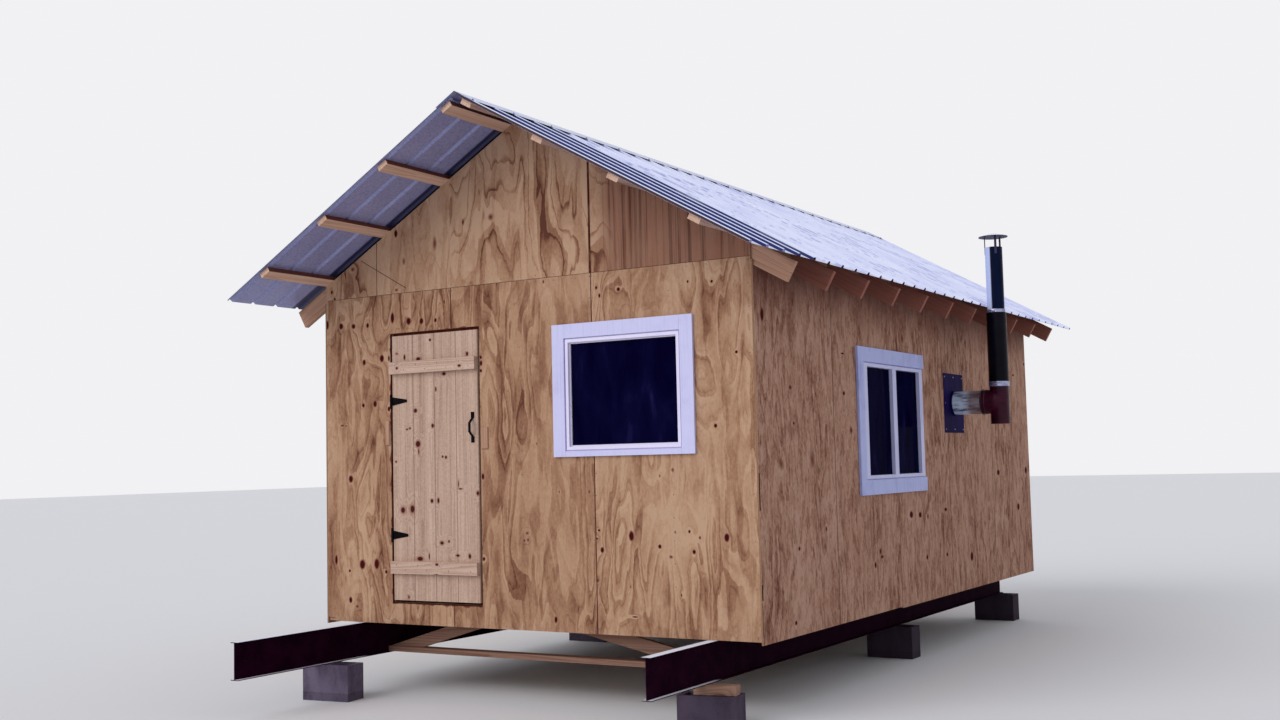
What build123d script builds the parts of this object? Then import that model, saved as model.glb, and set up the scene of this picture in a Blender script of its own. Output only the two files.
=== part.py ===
from build123d import *
import os
from math import cos, radians, sin, tan

# Off-grid cabin: a plywood shell on two steel beams, with a ribbed metal roof.
# Millimetres, +Z up. The front wall faces -Y and the right wall faces +X.
# The cabin is drawn from the front left corner of its floor frame, at the top
# of the beams, and moved at the end to stand centred on the ground.

# Plywood sheets
sheet_width = 1219.0
sheet_height = 2438.0
sheet_thickness = 12.0
sheet_gap = 3.0
front_sheet_count = 3
side_sheet_count = 5
side_sheet_drop = 20.0
rear_sheet_extra_drop = 10.0
level_sheet_count = 2
corner_notch_width = 75.0
corner_notch_height = 27.0
gable_seam_left = 515.0
gable_seam_shift = 4.0

# How far a cut runs past the faces it opens
cut_over = 1.0

# Sawn timber
timber_thickness = 38.0
timber_width = 89.0
timber_play = 1.0

# Floor
joist_depth = 140.0
joist_count = 21
deck_thickness = 18.0

# Steel beams under the floor
beam_depth = 254.0
beam_flange_width = 68.0
beam_flange_thickness = 5.2
beam_web_thickness = 4.0
beam_inset = 340.0
left_beam_reach = 1250.0
right_beam_reach = 846.0

# Piers
pier_height = 254.0
block_length = 390.0
block_width = 190.0
block_height = 194.0
block_shell = 32.0
block_offset = 45.0
front_left_pier_back = 360.0
front_left_pier_turn = 7.0
front_right_pier_back = 140.0
front_right_pier_turn = 10.0
mid_pier_offset = 72.5
rear_pier_inset = 125.0
shim_length = 280.0
shim_inset = 15.0

# Bracing between the beams
joist_count_to_brace = 1
left_brace_rise_run = 709.0
right_brace_rise_run = 1000.0

# Wall frame
side_stud_count = 11
header_depth = 184.0
shortest_cripple = 60.0
plate_layers = 2

# Roof
roof_pitch = 29.5
rafter_depth = 140.0
tail_reach = 307.0
ridge_board_depth = 184.0
purlin_count = 4
purlin_ridge_gap = 42.0
purlin_tail_gap = 357.6
purlin_setback = 20.0
front_overhang = 691.0
rib_spacing = 228.6
rear_overhang = 573.0
rib_base = 44.0
rib_top = 20.0
rib_height = 19.0
metal_thickness = 1.0
metal_lip = 5.0
metal_ridge_gap = 25.0
ridge_cap_leg = 150.0

# Door
door_left = 648.0
door_opening_width = 827.0
door_header_depth = 219.0
door_hinge_gap = 7.0
door_latch_gap = 20.0
door_top_gap = 23.0
door_bottom_gap = 16.0
door_board_count = 4
door_board_thickness = 22.0
door_board_gap = 2.0
door_board_bevel = 4.0
batten_inset = 240.0
stop_clearance = 6.0
stop_lap = 13.0
stop_depth = 38.0

# Door fittings
lower_hinge_rise = 474.0
upper_hinge_drop = 485.0
hinge_height = 104.0
hinge_plate_width = 18.0
hinge_metal = 3.0
hinge_barrel_radius = 5.0
hinge_pin_radius = 2.5
hinge_pin_play = 0.3
hinge_face_play = 1.0
strap_length = 140.0
strap_root = 64.0
strap_tip = 18.0
handle_edge_distance = 48.0
handle_z = 1420.0
handle_length = 220.0
handle_bow = 44.0
handle_bar = 9.0
handle_width = 16.0
handle_pad_height = 44.0
handle_pad_width = 30.0

# Windows
trim_thickness = 19.0
trim_play = 8.0
trim_joint = 1.0
fin_thickness = 2.0
fin_width = 22.0
frame_proud = 14.0
frame_inside = 60.0
window_play = 3.0
rough_play = 12.0
glass_thickness = 6.0
glass_setback = 20.0
front_window_corner_distance = 534.0
front_window_width = 898.0
front_window_sill = 1236.0
front_window_height = 758.0
front_frame_face = 22.0
front_trim_width = 97.0
front_bottom_trim = 38.0
side_window_start = 1765.0
side_window_width = 1257.0
side_window_sill = 978.0
side_window_height = 864.0
side_stile = 72.0
side_rail = 25.0
side_mullion = 78.0
side_trim_width = 110.0

# Stovepipe through the right wall
pipe_stud_count = 6
pipe_stud_distance = 203.2
pipe_z = 1588.0
plate_size = 510.0
plate_thickness = 3.0
sleeve_radius = 108.0
sleeve_length = 18.0
pipe_hole_radius = 111.0
run_radius = 100.0
run_inside = 60.0
branch_radius = 102.0
branch_rim_radius = 107.0
branch_length = 62.0
elbow_offset = 36.0
chimney_clearance = 6.0
tee_radius = 80.0
tee_above = 128.0
tee_below = 190.0
lower_pipe_radius = 83.0
lower_pipe_length = 630.0
upper_pipe_radius = 73.0
upper_pipe_length = 565.0
pipe_wall = 3.0
pipe_play = 0.3
flue_radius = 63.0
cap_radius = 122.0
cap_plate_thickness = 5.0
cap_cone_height = 30.0
cap_gap = 88.0
cap_leg_width = 20.0
cap_leg_lap = 60.0
cap_leg_count = 3
cap_leg_turn = 60.0
full_turn = 360.0

# Shell sizes that follow from the sheets
shell_width = front_sheet_count * sheet_width
shell_length = side_sheet_count * sheet_width
frame_front = sheet_thickness
frame_back = shell_length - sheet_thickness
middle_x = shell_width / 2
floor_top = joist_depth + deck_thickness
plate_top = sheet_height
top_plate_depth = plate_layers * timber_thickness
top_plate_bottom = plate_top - top_plate_depth
stud_bottom = floor_top + timber_thickness
beam_bottom = -beam_depth
ground = beam_bottom - pier_height

mid_pier_in = shell_length / 2 + mid_pier_offset
rear_pier_in = shell_length - rear_pier_inset
gable_seam_right = 2 * sheet_width - gable_seam_shift
stud_spacing = (frame_back - timber_thickness - frame_front) / (side_stud_count - 1)
pipe_y = frame_front + pipe_stud_count * stud_spacing + pipe_stud_distance
front_window_left = shell_width - front_window_corner_distance - front_window_width

# Roof geometry on the right slope, as distances down the slope and above the rafters
pitch = radians(roof_pitch)
rafter_plumb = rafter_depth / cos(pitch)
rafter_heel = plate_top - timber_width * tan(pitch)
ridge_z = rafter_heel + rafter_plumb + middle_x * tan(pitch)
tail_x = shell_width + tail_reach
tail_slope = (tail_x - middle_x) / cos(pitch)
purlin_spacing = (tail_slope - purlin_tail_gap - timber_width - purlin_ridge_gap) / (purlin_count - 1)
metal_end = tail_slope + metal_lip
metal_bottom = timber_thickness
rib_crown = metal_bottom + rib_height + metal_thickness
roof_front = -front_overhang
rib_count = round((front_overhang + shell_length + rear_overhang - rib_base) / rib_spacing) + 1
roof_length = (rib_count - 1) * rib_spacing + rib_base
roof_back = roof_front + roof_length
down_slope = (cos(pitch), 0, -sin(pitch))
off_slope = (sin(pitch), 0, cos(pitch))
slope = Plane(origin=(middle_x, 0, ridge_z), x_dir=down_slope, z_dir=off_slope)
mirror_plane = Plane.YZ.offset(middle_x)

# Stovepipe places
wall_face = shell_width + sheet_thickness
eave_crown_x = middle_x + metal_end * cos(pitch) + rib_crown * sin(pitch)
chimney_x = eave_crown_x + chimney_clearance + upper_pipe_radius
tee_top = pipe_z + tee_above
lower_pipe_top = tee_top + lower_pipe_length
upper_pipe_top = lower_pipe_top + upper_pipe_length
cap_z = upper_pipe_top + cap_gap

# Door places
door_right = door_left + door_opening_width
door_opening_top = top_plate_bottom - door_header_depth
leaf_left = door_left + door_hinge_gap
leaf_right = door_right - door_latch_gap
leaf_bottom = floor_top + door_bottom_gap
leaf_top = door_opening_top - door_top_gap
batten_places = (leaf_bottom + batten_inset, leaf_top - batten_inset)
hinge_places = (leaf_bottom + lower_hinge_rise, leaf_top - upper_hinge_drop)
front_stud_centres = (door_left / 2, (door_right + front_window_left) / 2)
hinge_x = door_left + door_hinge_gap / 2
hinge_y = -hinge_barrel_radius - hinge_face_play
strap_start = hinge_x + hinge_barrel_radius + hinge_face_play

# The datum: the middle of the whole object, on the ground
datum_x = (middle_x - (eave_crown_x - middle_x) + chimney_x + cap_radius) / 2
datum_y = (roof_back - left_beam_reach) / 2
to_ground = Pos(-datum_x, -datum_y, -ground)

nodes = {}


def block(x0, x1, y0, y1, z0, z1):
    """A box between two corners."""
    size = Box(x1 - x0, y1 - y0, z1 - z0)
    return Pos((x0 + x1) / 2, (y0 + y1) / 2, (z0 + z1) / 2) * size


def drawn_along_y(points, y0, y1):
    """An outline of (x, z) points drawn out from y0 to y1."""
    outline = Polyline(*[(x, y0, z) for x, z in points], close=True)
    return extrude(make_face(outline), amount=y1 - y0, dir=(0, 1, 0))


def drawn_along_x(points, x0, x1):
    """An outline of (y, z) points drawn out from x0 to x1."""
    outline = Polyline(*[(x0, y, z) for y, z in points], close=True)
    return extrude(make_face(outline), amount=x1 - x0, dir=(1, 0, 0))


def slope_point(down, above):
    """The (x, z) of a point on the right slope."""
    x = middle_x + down * cos(pitch) + above * sin(pitch)
    return x, ridge_z - down * sin(pitch) + above * cos(pitch)


def mirrored(parts):
    """The same pieces on the left side of the cabin."""
    return [mirror(part, about=mirror_plane) for part in parts]


def upright(x, y, z, radius, length):
    """A round bar or pipe standing at x, y from z up."""
    return Pos(x, y, z + length / 2) * Cylinder(radius, length)


def level(x, y, z, radius, length):
    """A round bar or pipe lying along +X from x."""
    return Pos(x + length / 2, y, z) * Rot(0, 90, 0) * Cylinder(radius, length)


def spread(count, first, last):
    """Even places from first to last."""
    return [first + (last - first) * i / (count - 1) for i in range(count)]


def solids_of(shape):
    """The separate solids in a shape."""
    return list(shape.solids())


def i_beam(centre_x, front):
    """A rolled steel beam that ends flush with the back wall."""
    half = beam_flange_width / 2
    web = beam_web_thickness / 2
    under = -beam_flange_thickness
    over = beam_bottom + beam_flange_thickness
    right = [(half, 0), (half, under), (web, under), (web, over), (half, over), (half, beam_bottom)]
    left = [(-x, z) for x, z in reversed(right)]
    outline = [(centre_x + x, z) for x, z in right + left]
    return drawn_along_y(outline, front, shell_length)


def concrete_block(centre_x, centre_y, bottom, turn):
    """A hollow block with two cores, standing on its bed face."""
    body = Box(block_length, block_width, block_height)
    core_length = (block_length - 3 * block_shell) / 2
    core = Box(core_length, block_width - 2 * block_shell, block_height)
    shift = (core_length + block_shell) / 2
    hollow = body - Pos(-shift, 0, 0) * core - Pos(shift, 0, 0) * core
    return Pos(centre_x, centre_y, bottom + block_height / 2) * Rot(0, 0, turn) * hollow


def piers():
    """Six piers under the beams: hollow blocks on solid pads, one wedged with wood."""
    left_x = beam_inset
    right_x = shell_width - beam_inset
    pad_height = pier_height - block_height
    places = [
        (left_x + block_offset, -front_left_pier_back, front_left_pier_turn),
        (left_x, mid_pier_in, 0),
        (right_x, mid_pier_in, 0),
        (left_x, rear_pier_in, 0),
        (right_x, rear_pier_in, 0),
    ]
    blocks = [concrete_block(x, y, ground + pad_height, turn) for x, y, turn in places]
    pad = Box(block_length, block_width, pad_height)
    pads = [Pos(x, y, ground + pad_height / 2) * Rot(0, 0, turn) * pad for x, y, turn in places]
    front_right_x = right_x + block_offset
    blocks.append(concrete_block(front_right_x, -front_right_pier_back, ground, front_right_pier_turn))
    shim_end = block_length / 2 - shim_inset
    shim = block(shim_end - shim_length, shim_end, -timber_width / 2, timber_width / 2,
                 ground + block_height, beam_bottom)
    shim = Pos(front_right_x, -front_right_pier_back, 0) * Rot(0, 0, front_right_pier_turn) * shim
    nodes["pier_blocks"] = blocks
    nodes["pier_pads"] = pads
    nodes["pier_shim"] = [shim]


def joist_places():
    """The front face of each floor joist."""
    return spread(joist_count, frame_front, frame_back - timber_thickness)


def underframe():
    """The beams, the timbers across them and the braces up to the joists."""
    right_x = shell_width - beam_inset
    nodes["beam_left"] = [i_beam(beam_inset, -left_beam_reach)]
    nodes["beam_right"] = [i_beam(right_x, -right_beam_reach)]
    start = beam_inset + beam_web_thickness / 2 + timber_play
    end = right_x - beam_web_thickness / 2 - timber_play
    seat = beam_bottom + beam_flange_thickness
    seat_top = seat + timber_thickness
    joists = joist_places()
    timbers = []
    braces = []
    for joist in (joists[joist_count_to_brace], joists[-1 - joist_count_to_brace]):
        near = joist + timber_thickness / 2 - timber_width / 2
        timbers.append(block(start, end, near, near + timber_width, seat, seat_top))
        for foot, run in ((start, left_brace_rise_run), (end, -right_brace_rise_run)):
            cut = brace_cut(run, -seat_top)
            inward = cut if run > 0 else -cut
            head = foot + run
            outline = [(foot, seat_top), (foot + inward, seat_top), (head + inward, 0), (head, 0)]
            braces.append(drawn_along_y(outline, joist, joist + timber_thickness))
    nodes["cross_timbers"] = timbers
    nodes["cross_braces"] = braces


def brace_cut(run, rise):
    """The level length of the cut across a brace that climbs rise over run."""
    slant = (run * run + rise * rise) ** 0.5
    return timber_width * slant / rise


def floor():
    """Rim joists along the sides, joists between them and the deck on top."""
    t = timber_thickness
    start = t + timber_play
    rims = [block(0, t, frame_front, frame_back, 0, joist_depth)]
    joists = [block(start, shell_width - start, y, y + t, 0, joist_depth) for y in joist_places()]
    nodes["floor_joists"] = rims + mirrored(rims) + joists
    nodes["floor_deck"] = [block(0, shell_width, frame_front, frame_back, joist_depth, floor_top)]


def side_stud_places():
    """The front face of each rafter and side stud."""
    return spread(side_stud_count, frame_front, frame_back - timber_thickness)


def opening_frame(low, high, sill, head):
    """Trimmers, header, sill and cripples round an opening, as (low, high, bottom, top) in the wall."""
    t = timber_thickness
    trimmers = [(x, x + t, stud_bottom, top_plate_bottom) for x in (low - t, high)]
    room = top_plate_bottom - head - header_depth
    header_top = top_plate_bottom if room < shortest_cripple else head + header_depth
    middle = (low + high) / 2
    cripples = []
    if header_top < top_plate_bottom:
        cripples.append((middle - t / 2, middle + t / 2, header_top, top_plate_bottom))
    sills = []
    if sill > stud_bottom + t:
        sills.append((low, high, sill - t, sill))
        cripples.append((middle - t / 2, middle + t / 2, stud_bottom, sill - t))
    return trimmers, [(low, high, head, header_top)], sills, cripples


def wall_frame():
    """Plates, studs and the timber round the door and the windows."""
    w = timber_width
    t = timber_thickness
    play = timber_play
    inner_left = w + play
    inner_right = shell_width - w - play
    back_in = frame_back - w

    def front_piece(x0, x1, z0, z1):
        return block(x0, x1, frame_front, frame_front + w, z0, z1)

    def right_piece(y0, y1, z0, z1):
        return block(shell_width - w, shell_width, y0, y1, z0, z1)

    side_plate = block(0, w, frame_front, frame_back, floor_top, stud_bottom)
    nodes["bottom_plates"] = [side_plate] + mirrored([side_plate]) + [
        front_piece(inner_left, door_left - t, floor_top, stud_bottom),
        front_piece(door_right + t, inner_right, floor_top, stud_bottom),
        block(inner_left, inner_right, back_in, frame_back, floor_top, stud_bottom),
    ]
    side_top = block(0, w, frame_front, frame_back, top_plate_bottom, plate_top)
    nodes["top_plates"] = [side_top] + mirrored([side_top]) + [
        front_piece(inner_left, inner_right, top_plate_bottom, plate_top),
        block(inner_left, inner_right, back_in, frame_back, top_plate_bottom, plate_top),
    ]

    door_trimmers = [(door_left - t, door_left), (door_right, door_right + t)]
    door_header = (door_left, door_right, door_opening_top, top_plate_bottom)
    front_low = front_window_left - rough_play
    front_high = front_window_left + front_window_width + rough_play
    front_parts = opening_frame(front_low, front_high, front_window_sill - rough_play,
                                front_window_sill + front_window_height + rough_play)
    side_low = side_window_start - rough_play
    side_high = side_window_start + side_window_width + rough_play
    side_parts = opening_frame(side_low, side_high, side_window_sill - rough_play,
                               side_window_sill + side_window_height + rough_play)

    front_studs = [front_piece(x0, x1, floor_top, top_plate_bottom) for x0, x1 in door_trimmers]
    for centre in front_stud_centres:
        front_studs.append(front_piece(centre - t / 2, centre + t / 2, stud_bottom, top_plate_bottom))
    corners = (inner_left, inner_right - t)
    front_studs += [front_piece(x, x + t, stud_bottom, top_plate_bottom) for x in corners]
    front_studs += [front_piece(*piece) for piece in front_parts[0] + front_parts[3]]
    left_studs = [block(0, w, y, y + t, stud_bottom, top_plate_bottom) for y in side_stud_places()]
    clear = [y for y in side_stud_places() if y + t < side_low - t - play or y > side_high + t + play]
    right_studs = [right_piece(y, y + t, stud_bottom, top_plate_bottom) for y in clear]
    right_studs += [right_piece(*piece) for piece in side_parts[0] + side_parts[3]]
    back_places = spread(2 * front_sheet_count + 1, inner_left, inner_right - t)
    back_studs = [block(x, x + t, back_in, frame_back, stud_bottom, top_plate_bottom) for x in back_places]
    nodes["wall_studs"] = front_studs + left_studs + right_studs + back_studs
    headers = [front_piece(*door_header)]
    headers += [front_piece(*piece) for piece in front_parts[1]]
    headers += [right_piece(*piece) for piece in side_parts[1]]
    sills = [front_piece(*piece) for piece in front_parts[2]]
    sills += [right_piece(*piece) for piece in side_parts[2]]
    nodes["headers_and_sills"] = headers + sills


def rafter_under(x):
    """The height of the underside of the rafters at x."""
    return ridge_z - rafter_plumb - abs(x - middle_x) * tan(pitch)


def rafter_over(x):
    """The height of the top of the rafters at x."""
    return ridge_z - abs(x - middle_x) * tan(pitch)


def gable_studs():
    """Studs from the top plates up to the end rafters."""
    t = timber_thickness
    places = spread(2 * front_sheet_count + 1, timber_width, shell_width - timber_width - t)
    studs = []
    for front in (frame_front, frame_back - timber_width):
        for x in places[1:-1]:
            far = x + t
            outline = [(x, plate_top), (far, plate_top), (far, rafter_under(far)), (x, rafter_under(x))]
            if x < middle_x < far:
                outline = ridge_stud_outline(x, far)
            studs.append(drawn_along_y(outline, front, front + timber_width))
    nodes["gable_studs"] = studs


def ridge_stud_outline(x0, x1):
    """The stud under the ridge, cut square below the ridge board."""
    top = rafter_over(middle_x + timber_thickness / 2) - ridge_board_depth
    return [(x0, plate_top), (x1, plate_top), (x1, top), (x0, top)]


def rafters():
    """Rafters seated on the top plates, with square tails, and the ridge board between them."""
    t = timber_thickness
    head_x = middle_x + t / 2
    foot_x = tail_x - rafter_depth * sin(pitch)
    foot_z = rafter_over(tail_x) - rafter_depth * cos(pitch)
    outline = [
        (head_x, rafter_over(head_x)),
        (tail_x, rafter_over(tail_x)),
        (foot_x, foot_z),
        (shell_width, rafter_under(shell_width)),
        (shell_width, plate_top),
        (shell_width - timber_width, plate_top),
        (head_x, rafter_under(head_x)),
    ]
    places = side_stud_places()
    right = [drawn_along_y(outline, y, y + t) for y in places]
    nodes["rafters"] = right + mirrored(right)
    blocks = []
    for low, high in zip(places, places[1:]):
        blocks.append(block(shell_width - t, shell_width, low + t + timber_play, high - timber_play,
                            plate_top, rafter_over(shell_width)))
    nodes["eave_blocks"] = blocks + mirrored(blocks)
    top = rafter_over(head_x)
    bottom = top - ridge_board_depth
    nodes["ridge_board"] = [block(middle_x - t / 2, head_x, frame_front, frame_back, bottom, top)]


def purlins():
    """Flat boards along the roof that carry the metal and its front and back overhangs."""
    front = roof_front + purlin_setback
    back = roof_back - purlin_setback
    downs = [purlin_ridge_gap + i * purlin_spacing for i in range(purlin_count)]
    right = [slope * block(d, d + timber_width, front, back, 0, timber_thickness) for d in downs]
    nodes["purlins"] = right + mirrored(right)


def ribbed_sheet():
    """The metal of one slope: flat pans between tapered ribs, drawn down the slope."""
    lower = []
    for i in range(rib_count):
        centre = roof_front + rib_base / 2 + i * rib_spacing
        lower.append((centre - rib_base / 2, 0))
        lower.append((centre - rib_top / 2, rib_height))
        lower.append((centre + rib_top / 2, rib_height))
        lower.append((centre + rib_base / 2, 0))
    upper = [(y, h + metal_thickness) for y, h in reversed(lower)]
    section = Polyline(*[(metal_ridge_gap, y, metal_bottom + h) for y, h in lower + upper], close=True)
    sheet = extrude(make_face(section), amount=metal_end - metal_ridge_gap, dir=(1, 0, 0))
    return slope * sheet


def roof_metal():
    """The two ribbed slopes and the folded cap over the ridge."""
    right = [ribbed_sheet()]
    nodes["roof_metal_right"] = right
    nodes["roof_metal_left"] = mirrored(right)
    cap_top = rib_crown + metal_thickness
    leg = [slope_point(ridge_cap_leg, rib_crown), slope_point(ridge_cap_leg, cap_top)]
    far_leg = [(2 * middle_x - x, z) for x, z in reversed(leg)]
    outline = [(middle_x, ridge_z + rib_crown / cos(pitch))] + leg
    outline += [(middle_x, ridge_z + cap_top / cos(pitch))] + far_leg
    nodes["ridge_cap"] = [drawn_along_y(outline, roof_front, roof_back)]


def front_sheets():
    """The three lower sheets of the front wall, cut for the door and the window."""
    before = -cut_over
    behind = sheet_thickness + cut_over
    door_cut = block(door_left, door_right, before, behind, floor_top, door_opening_top)
    window_cut = block(
        front_window_left - window_play, front_window_left + front_window_width + window_play,
        before, behind,
        front_window_sill - window_play, front_window_sill + front_window_height + window_play,
    )
    notch = block(before, corner_notch_width, before, behind, before, corner_notch_height)
    names = ["front_sheet_left", "front_sheet_middle", "front_sheet_right"]
    for i, name in enumerate(names):
        left = i * sheet_width
        right = left + sheet_width - (sheet_gap if i < len(names) - 1 else 0)
        sheet = block(left, right, 0, sheet_thickness, 0, sheet_height)
        nodes[name] = [sheet - door_cut - window_cut - notch]


def gable_outline(left, right):
    """A gable sheet between two upright edges, cut to the rafters."""
    bottom = sheet_height + sheet_gap
    outline = [(left, bottom), (right, bottom), (right, rafter_over(right))]
    if left < middle_x < right:
        outline.append((middle_x, ridge_z))
    return outline + [(left, rafter_over(left))]


def gable_sheets():
    """Plywood over the gables, front and back."""
    seams = [0, gable_seam_left, gable_seam_right, shell_width]
    front = []
    for left, right in zip(seams, seams[1:]):
        right_edge = right if right == shell_width else right - sheet_gap
        front.append(drawn_along_y(gable_outline(left, right_edge), 0, sheet_thickness))
    nodes["front_gable_sheets"] = front
    return [
        drawn_along_y(gable_outline(0, gable_seam_right - sheet_gap), frame_back, shell_length),
        drawn_along_y(gable_outline(gable_seam_right, shell_width), frame_back, shell_length),
    ]


def rafter_notches():
    """The slots in the top edge of a side wall that the rafter tails pass through."""
    t = timber_thickness
    play = timber_play
    low = rafter_under(wall_face) - play
    places = side_stud_places()
    return [block(shell_width, wall_face, y - play, y + t + play, low, sheet_height) for y in places]


def back_and_side_sheets():
    """The sheets of the back and side walls, with the window and stovepipe holes."""
    back = []
    for i in range(front_sheet_count):
        left = i * sheet_width
        right = left + sheet_width - (sheet_gap if i < front_sheet_count - 1 else 0)
        back.append(block(left, right, frame_back, shell_length, 0, sheet_height))
    nodes["back_wall_sheets"] = back + gable_sheets()
    window_cut = block(
        shell_width - cut_over, wall_face + cut_over,
        side_window_start - window_play, side_window_start + side_window_width + window_play,
        side_window_sill - window_play, side_window_sill + side_window_height + window_play,
    )
    hole_length = sheet_thickness + 2 * cut_over
    pipe_hole = level(shell_width - cut_over, pipe_y, pipe_z, pipe_hole_radius, hole_length)
    tails = rafter_notches()
    right_wall = []
    left_wall = []
    for i in range(side_sheet_count):
        front = i * sheet_width
        back_edge = front + sheet_width - (sheet_gap if i < side_sheet_count - 1 else 0)
        drop = side_sheet_drop + (rear_sheet_extra_drop if i >= level_sheet_count else 0)
        sheet = block(shell_width, wall_face, front, back_edge, -drop, sheet_height - drop)
        for tail in tails:
            sheet -= tail
        left_wall += mirrored([sheet])
        right_wall.append(sheet - window_cut - pipe_hole)
    nodes["right_wall_sheets"] = right_wall
    nodes["left_wall_sheets"] = left_wall


def door():
    """The board door on its battens, with strap hinges and a pull handle, and its stops."""
    width = (leaf_right - leaf_left + door_board_gap) / door_board_count
    boards = []
    for i in range(door_board_count):
        left = leaf_left + i * width
        right = left + width - door_board_gap
        back = door_board_thickness
        bevel = door_board_bevel
        outline = [(left, bevel), (left + bevel, 0), (right - bevel, 0), (right, bevel)]
        outline += [(right, back), (left, back)]
        section = Polyline(*[(x, y, leaf_bottom) for x, y in outline], close=True)
        boards.append(extrude(make_face(section), amount=leaf_top - leaf_bottom, dir=(0, 0, 1)))
    nodes["door_boards"] = boards
    battens = []
    for z in batten_places:
        low = z - timber_width / 2
        battens.append(block(leaf_left, leaf_right, -timber_thickness, 0, low, low + timber_width))
    nodes["door_battens"] = battens
    stop_front = door_board_thickness + stop_clearance
    stop_back = stop_front + stop_depth
    head_stop = leaf_top - stop_lap
    side_top = head_stop - timber_play
    nodes["door_stops"] = [
        block(door_left, leaf_left + stop_lap, stop_front, stop_back, floor_top, side_top),
        block(leaf_right - stop_lap, door_right, stop_front, stop_back, floor_top, side_top),
        block(door_left, door_right, stop_front, stop_back, head_stop, door_opening_top),
    ]


def hinges():
    """Tapered straps on the door that turn on pins carried by the jamb plates."""
    third = hinge_height / 3
    play = hinge_pin_play
    straps = []
    plates = []
    for z in hinge_places:
        low = z - hinge_height / 2
        pin = upright(hinge_x, hinge_y, low, hinge_pin_radius, hinge_height)
        plate = block(hinge_x - hinge_plate_width, hinge_x, -hinge_metal, 0, low, low + hinge_height)
        gap = upright(hinge_x, hinge_y, low + third, hinge_barrel_radius + hinge_face_play, third)
        ends = upright(hinge_x, hinge_y, low, hinge_barrel_radius, third)
        ends += upright(hinge_x, hinge_y, low + 2 * third, hinge_barrel_radius, third)
        plates.append(plate + ends - gap + pin)
        outline = [
            (strap_start, z - strap_root / 2),
            (strap_start + strap_length, z - strap_tip / 2),
            (strap_start + strap_length, z + strap_tip / 2),
            (strap_start, z + strap_root / 2),
        ]
        strap = drawn_along_y(outline, -hinge_metal, 0)
        tongue_low = z - third / 2 + play
        tongue_high = z + third / 2 - play
        tongue = block(hinge_x, strap_start, hinge_y, -play, tongue_low, tongue_high)
        barrel = upright(hinge_x, hinge_y, tongue_low, hinge_barrel_radius, tongue_high - tongue_low)
        bore_length = tongue_high - tongue_low + 2 * cut_over
        bore = upright(hinge_x, hinge_y, tongue_low - cut_over, hinge_pin_radius + play, bore_length)
        straps.append(strap + tongue + barrel - bore)
    nodes["hinge_straps"] = straps
    nodes["hinge_plates"] = plates


def handle():
    """A bowed pull on two pads."""
    x = leaf_right - handle_edge_distance
    half = handle_length / 2
    grip = half - handle_pad_height
    outer = -handle_bow
    inner = outer + handle_bar
    foot = grip + handle_bar
    points = [(0, -foot), (outer, -grip / 2), (outer, grip / 2), (0, foot)]
    points += [(0, foot - handle_bar), (inner, grip / 2 - handle_bar / 2)]
    points += [(inner, -grip / 2 + handle_bar / 2), (0, -foot + handle_bar)]
    bar = drawn_along_x([(y, handle_z + z) for y, z in points], x - handle_width / 2, x + handle_width / 2)
    pads = None
    for side in (-1, 1):
        centre = handle_z + side * (half - handle_pad_height / 2)
        pad = block(x - handle_pad_width / 2, x + handle_pad_width / 2, -hinge_metal, 0,
                    centre - handle_pad_height / 2, centre + handle_pad_height / 2)
        pads = pad if pads is None else pads + pad
    nodes["door_handle"] = [bar + pads]


def framed_opening(low, high, bottom, top, stile, rail, mullion):
    """A window frame in (across, out, up) terms: a ring with a nailing fin, out being -y."""
    body = block(low, high, -frame_proud, frame_inside, bottom, top)
    fin = block(low - fin_width, high + fin_width, -fin_thickness, 0, bottom - fin_width, top + fin_width)
    front = -frame_proud - cut_over
    hole = block(low + stile, high - stile, front, frame_inside + cut_over, bottom + rail, top - rail)
    frame = body + fin - hole
    panes = []
    glass_back = glass_setback + glass_thickness
    spans = [(low + stile, high - stile)]
    if mullion:
        middle = (low + high) / 2
        bar_left = middle - mullion / 2
        bar_right = middle + mullion / 2
        frame += block(bar_left, bar_right, -frame_proud, frame_inside, bottom + rail, top - rail)
        spans = [(low + stile, bar_left), (bar_right, high - stile)]
    for start, end in spans:
        panes.append(block(start, end, glass_setback, glass_back, bottom + rail, top - rail))
    return frame, panes


def trim_boards(low, high, bottom, top, side, bottom_side, right_side):
    """Flat boards laid over the fin round a window frame, butted between the upright ones."""
    front = -fin_thickness - trim_thickness
    back = -fin_thickness
    left_edge = low - trim_play
    right_edge = high + trim_play if right_side else high + fin_width
    upper = top + trim_play
    lower = bottom - trim_play
    joint = trim_joint
    boards = [block(left_edge - side, left_edge, front, back, lower - bottom_side, upper + side)]
    if right_side:
        boards.append(block(right_edge, right_edge + side, front, back, lower - bottom_side, upper + side))
    end = right_edge - joint if right_side else right_edge
    boards.append(block(left_edge + joint, end, front, back, upper, upper + side))
    boards.append(block(left_edge + joint, end, front, back, lower - bottom_side, lower))
    return boards


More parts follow.
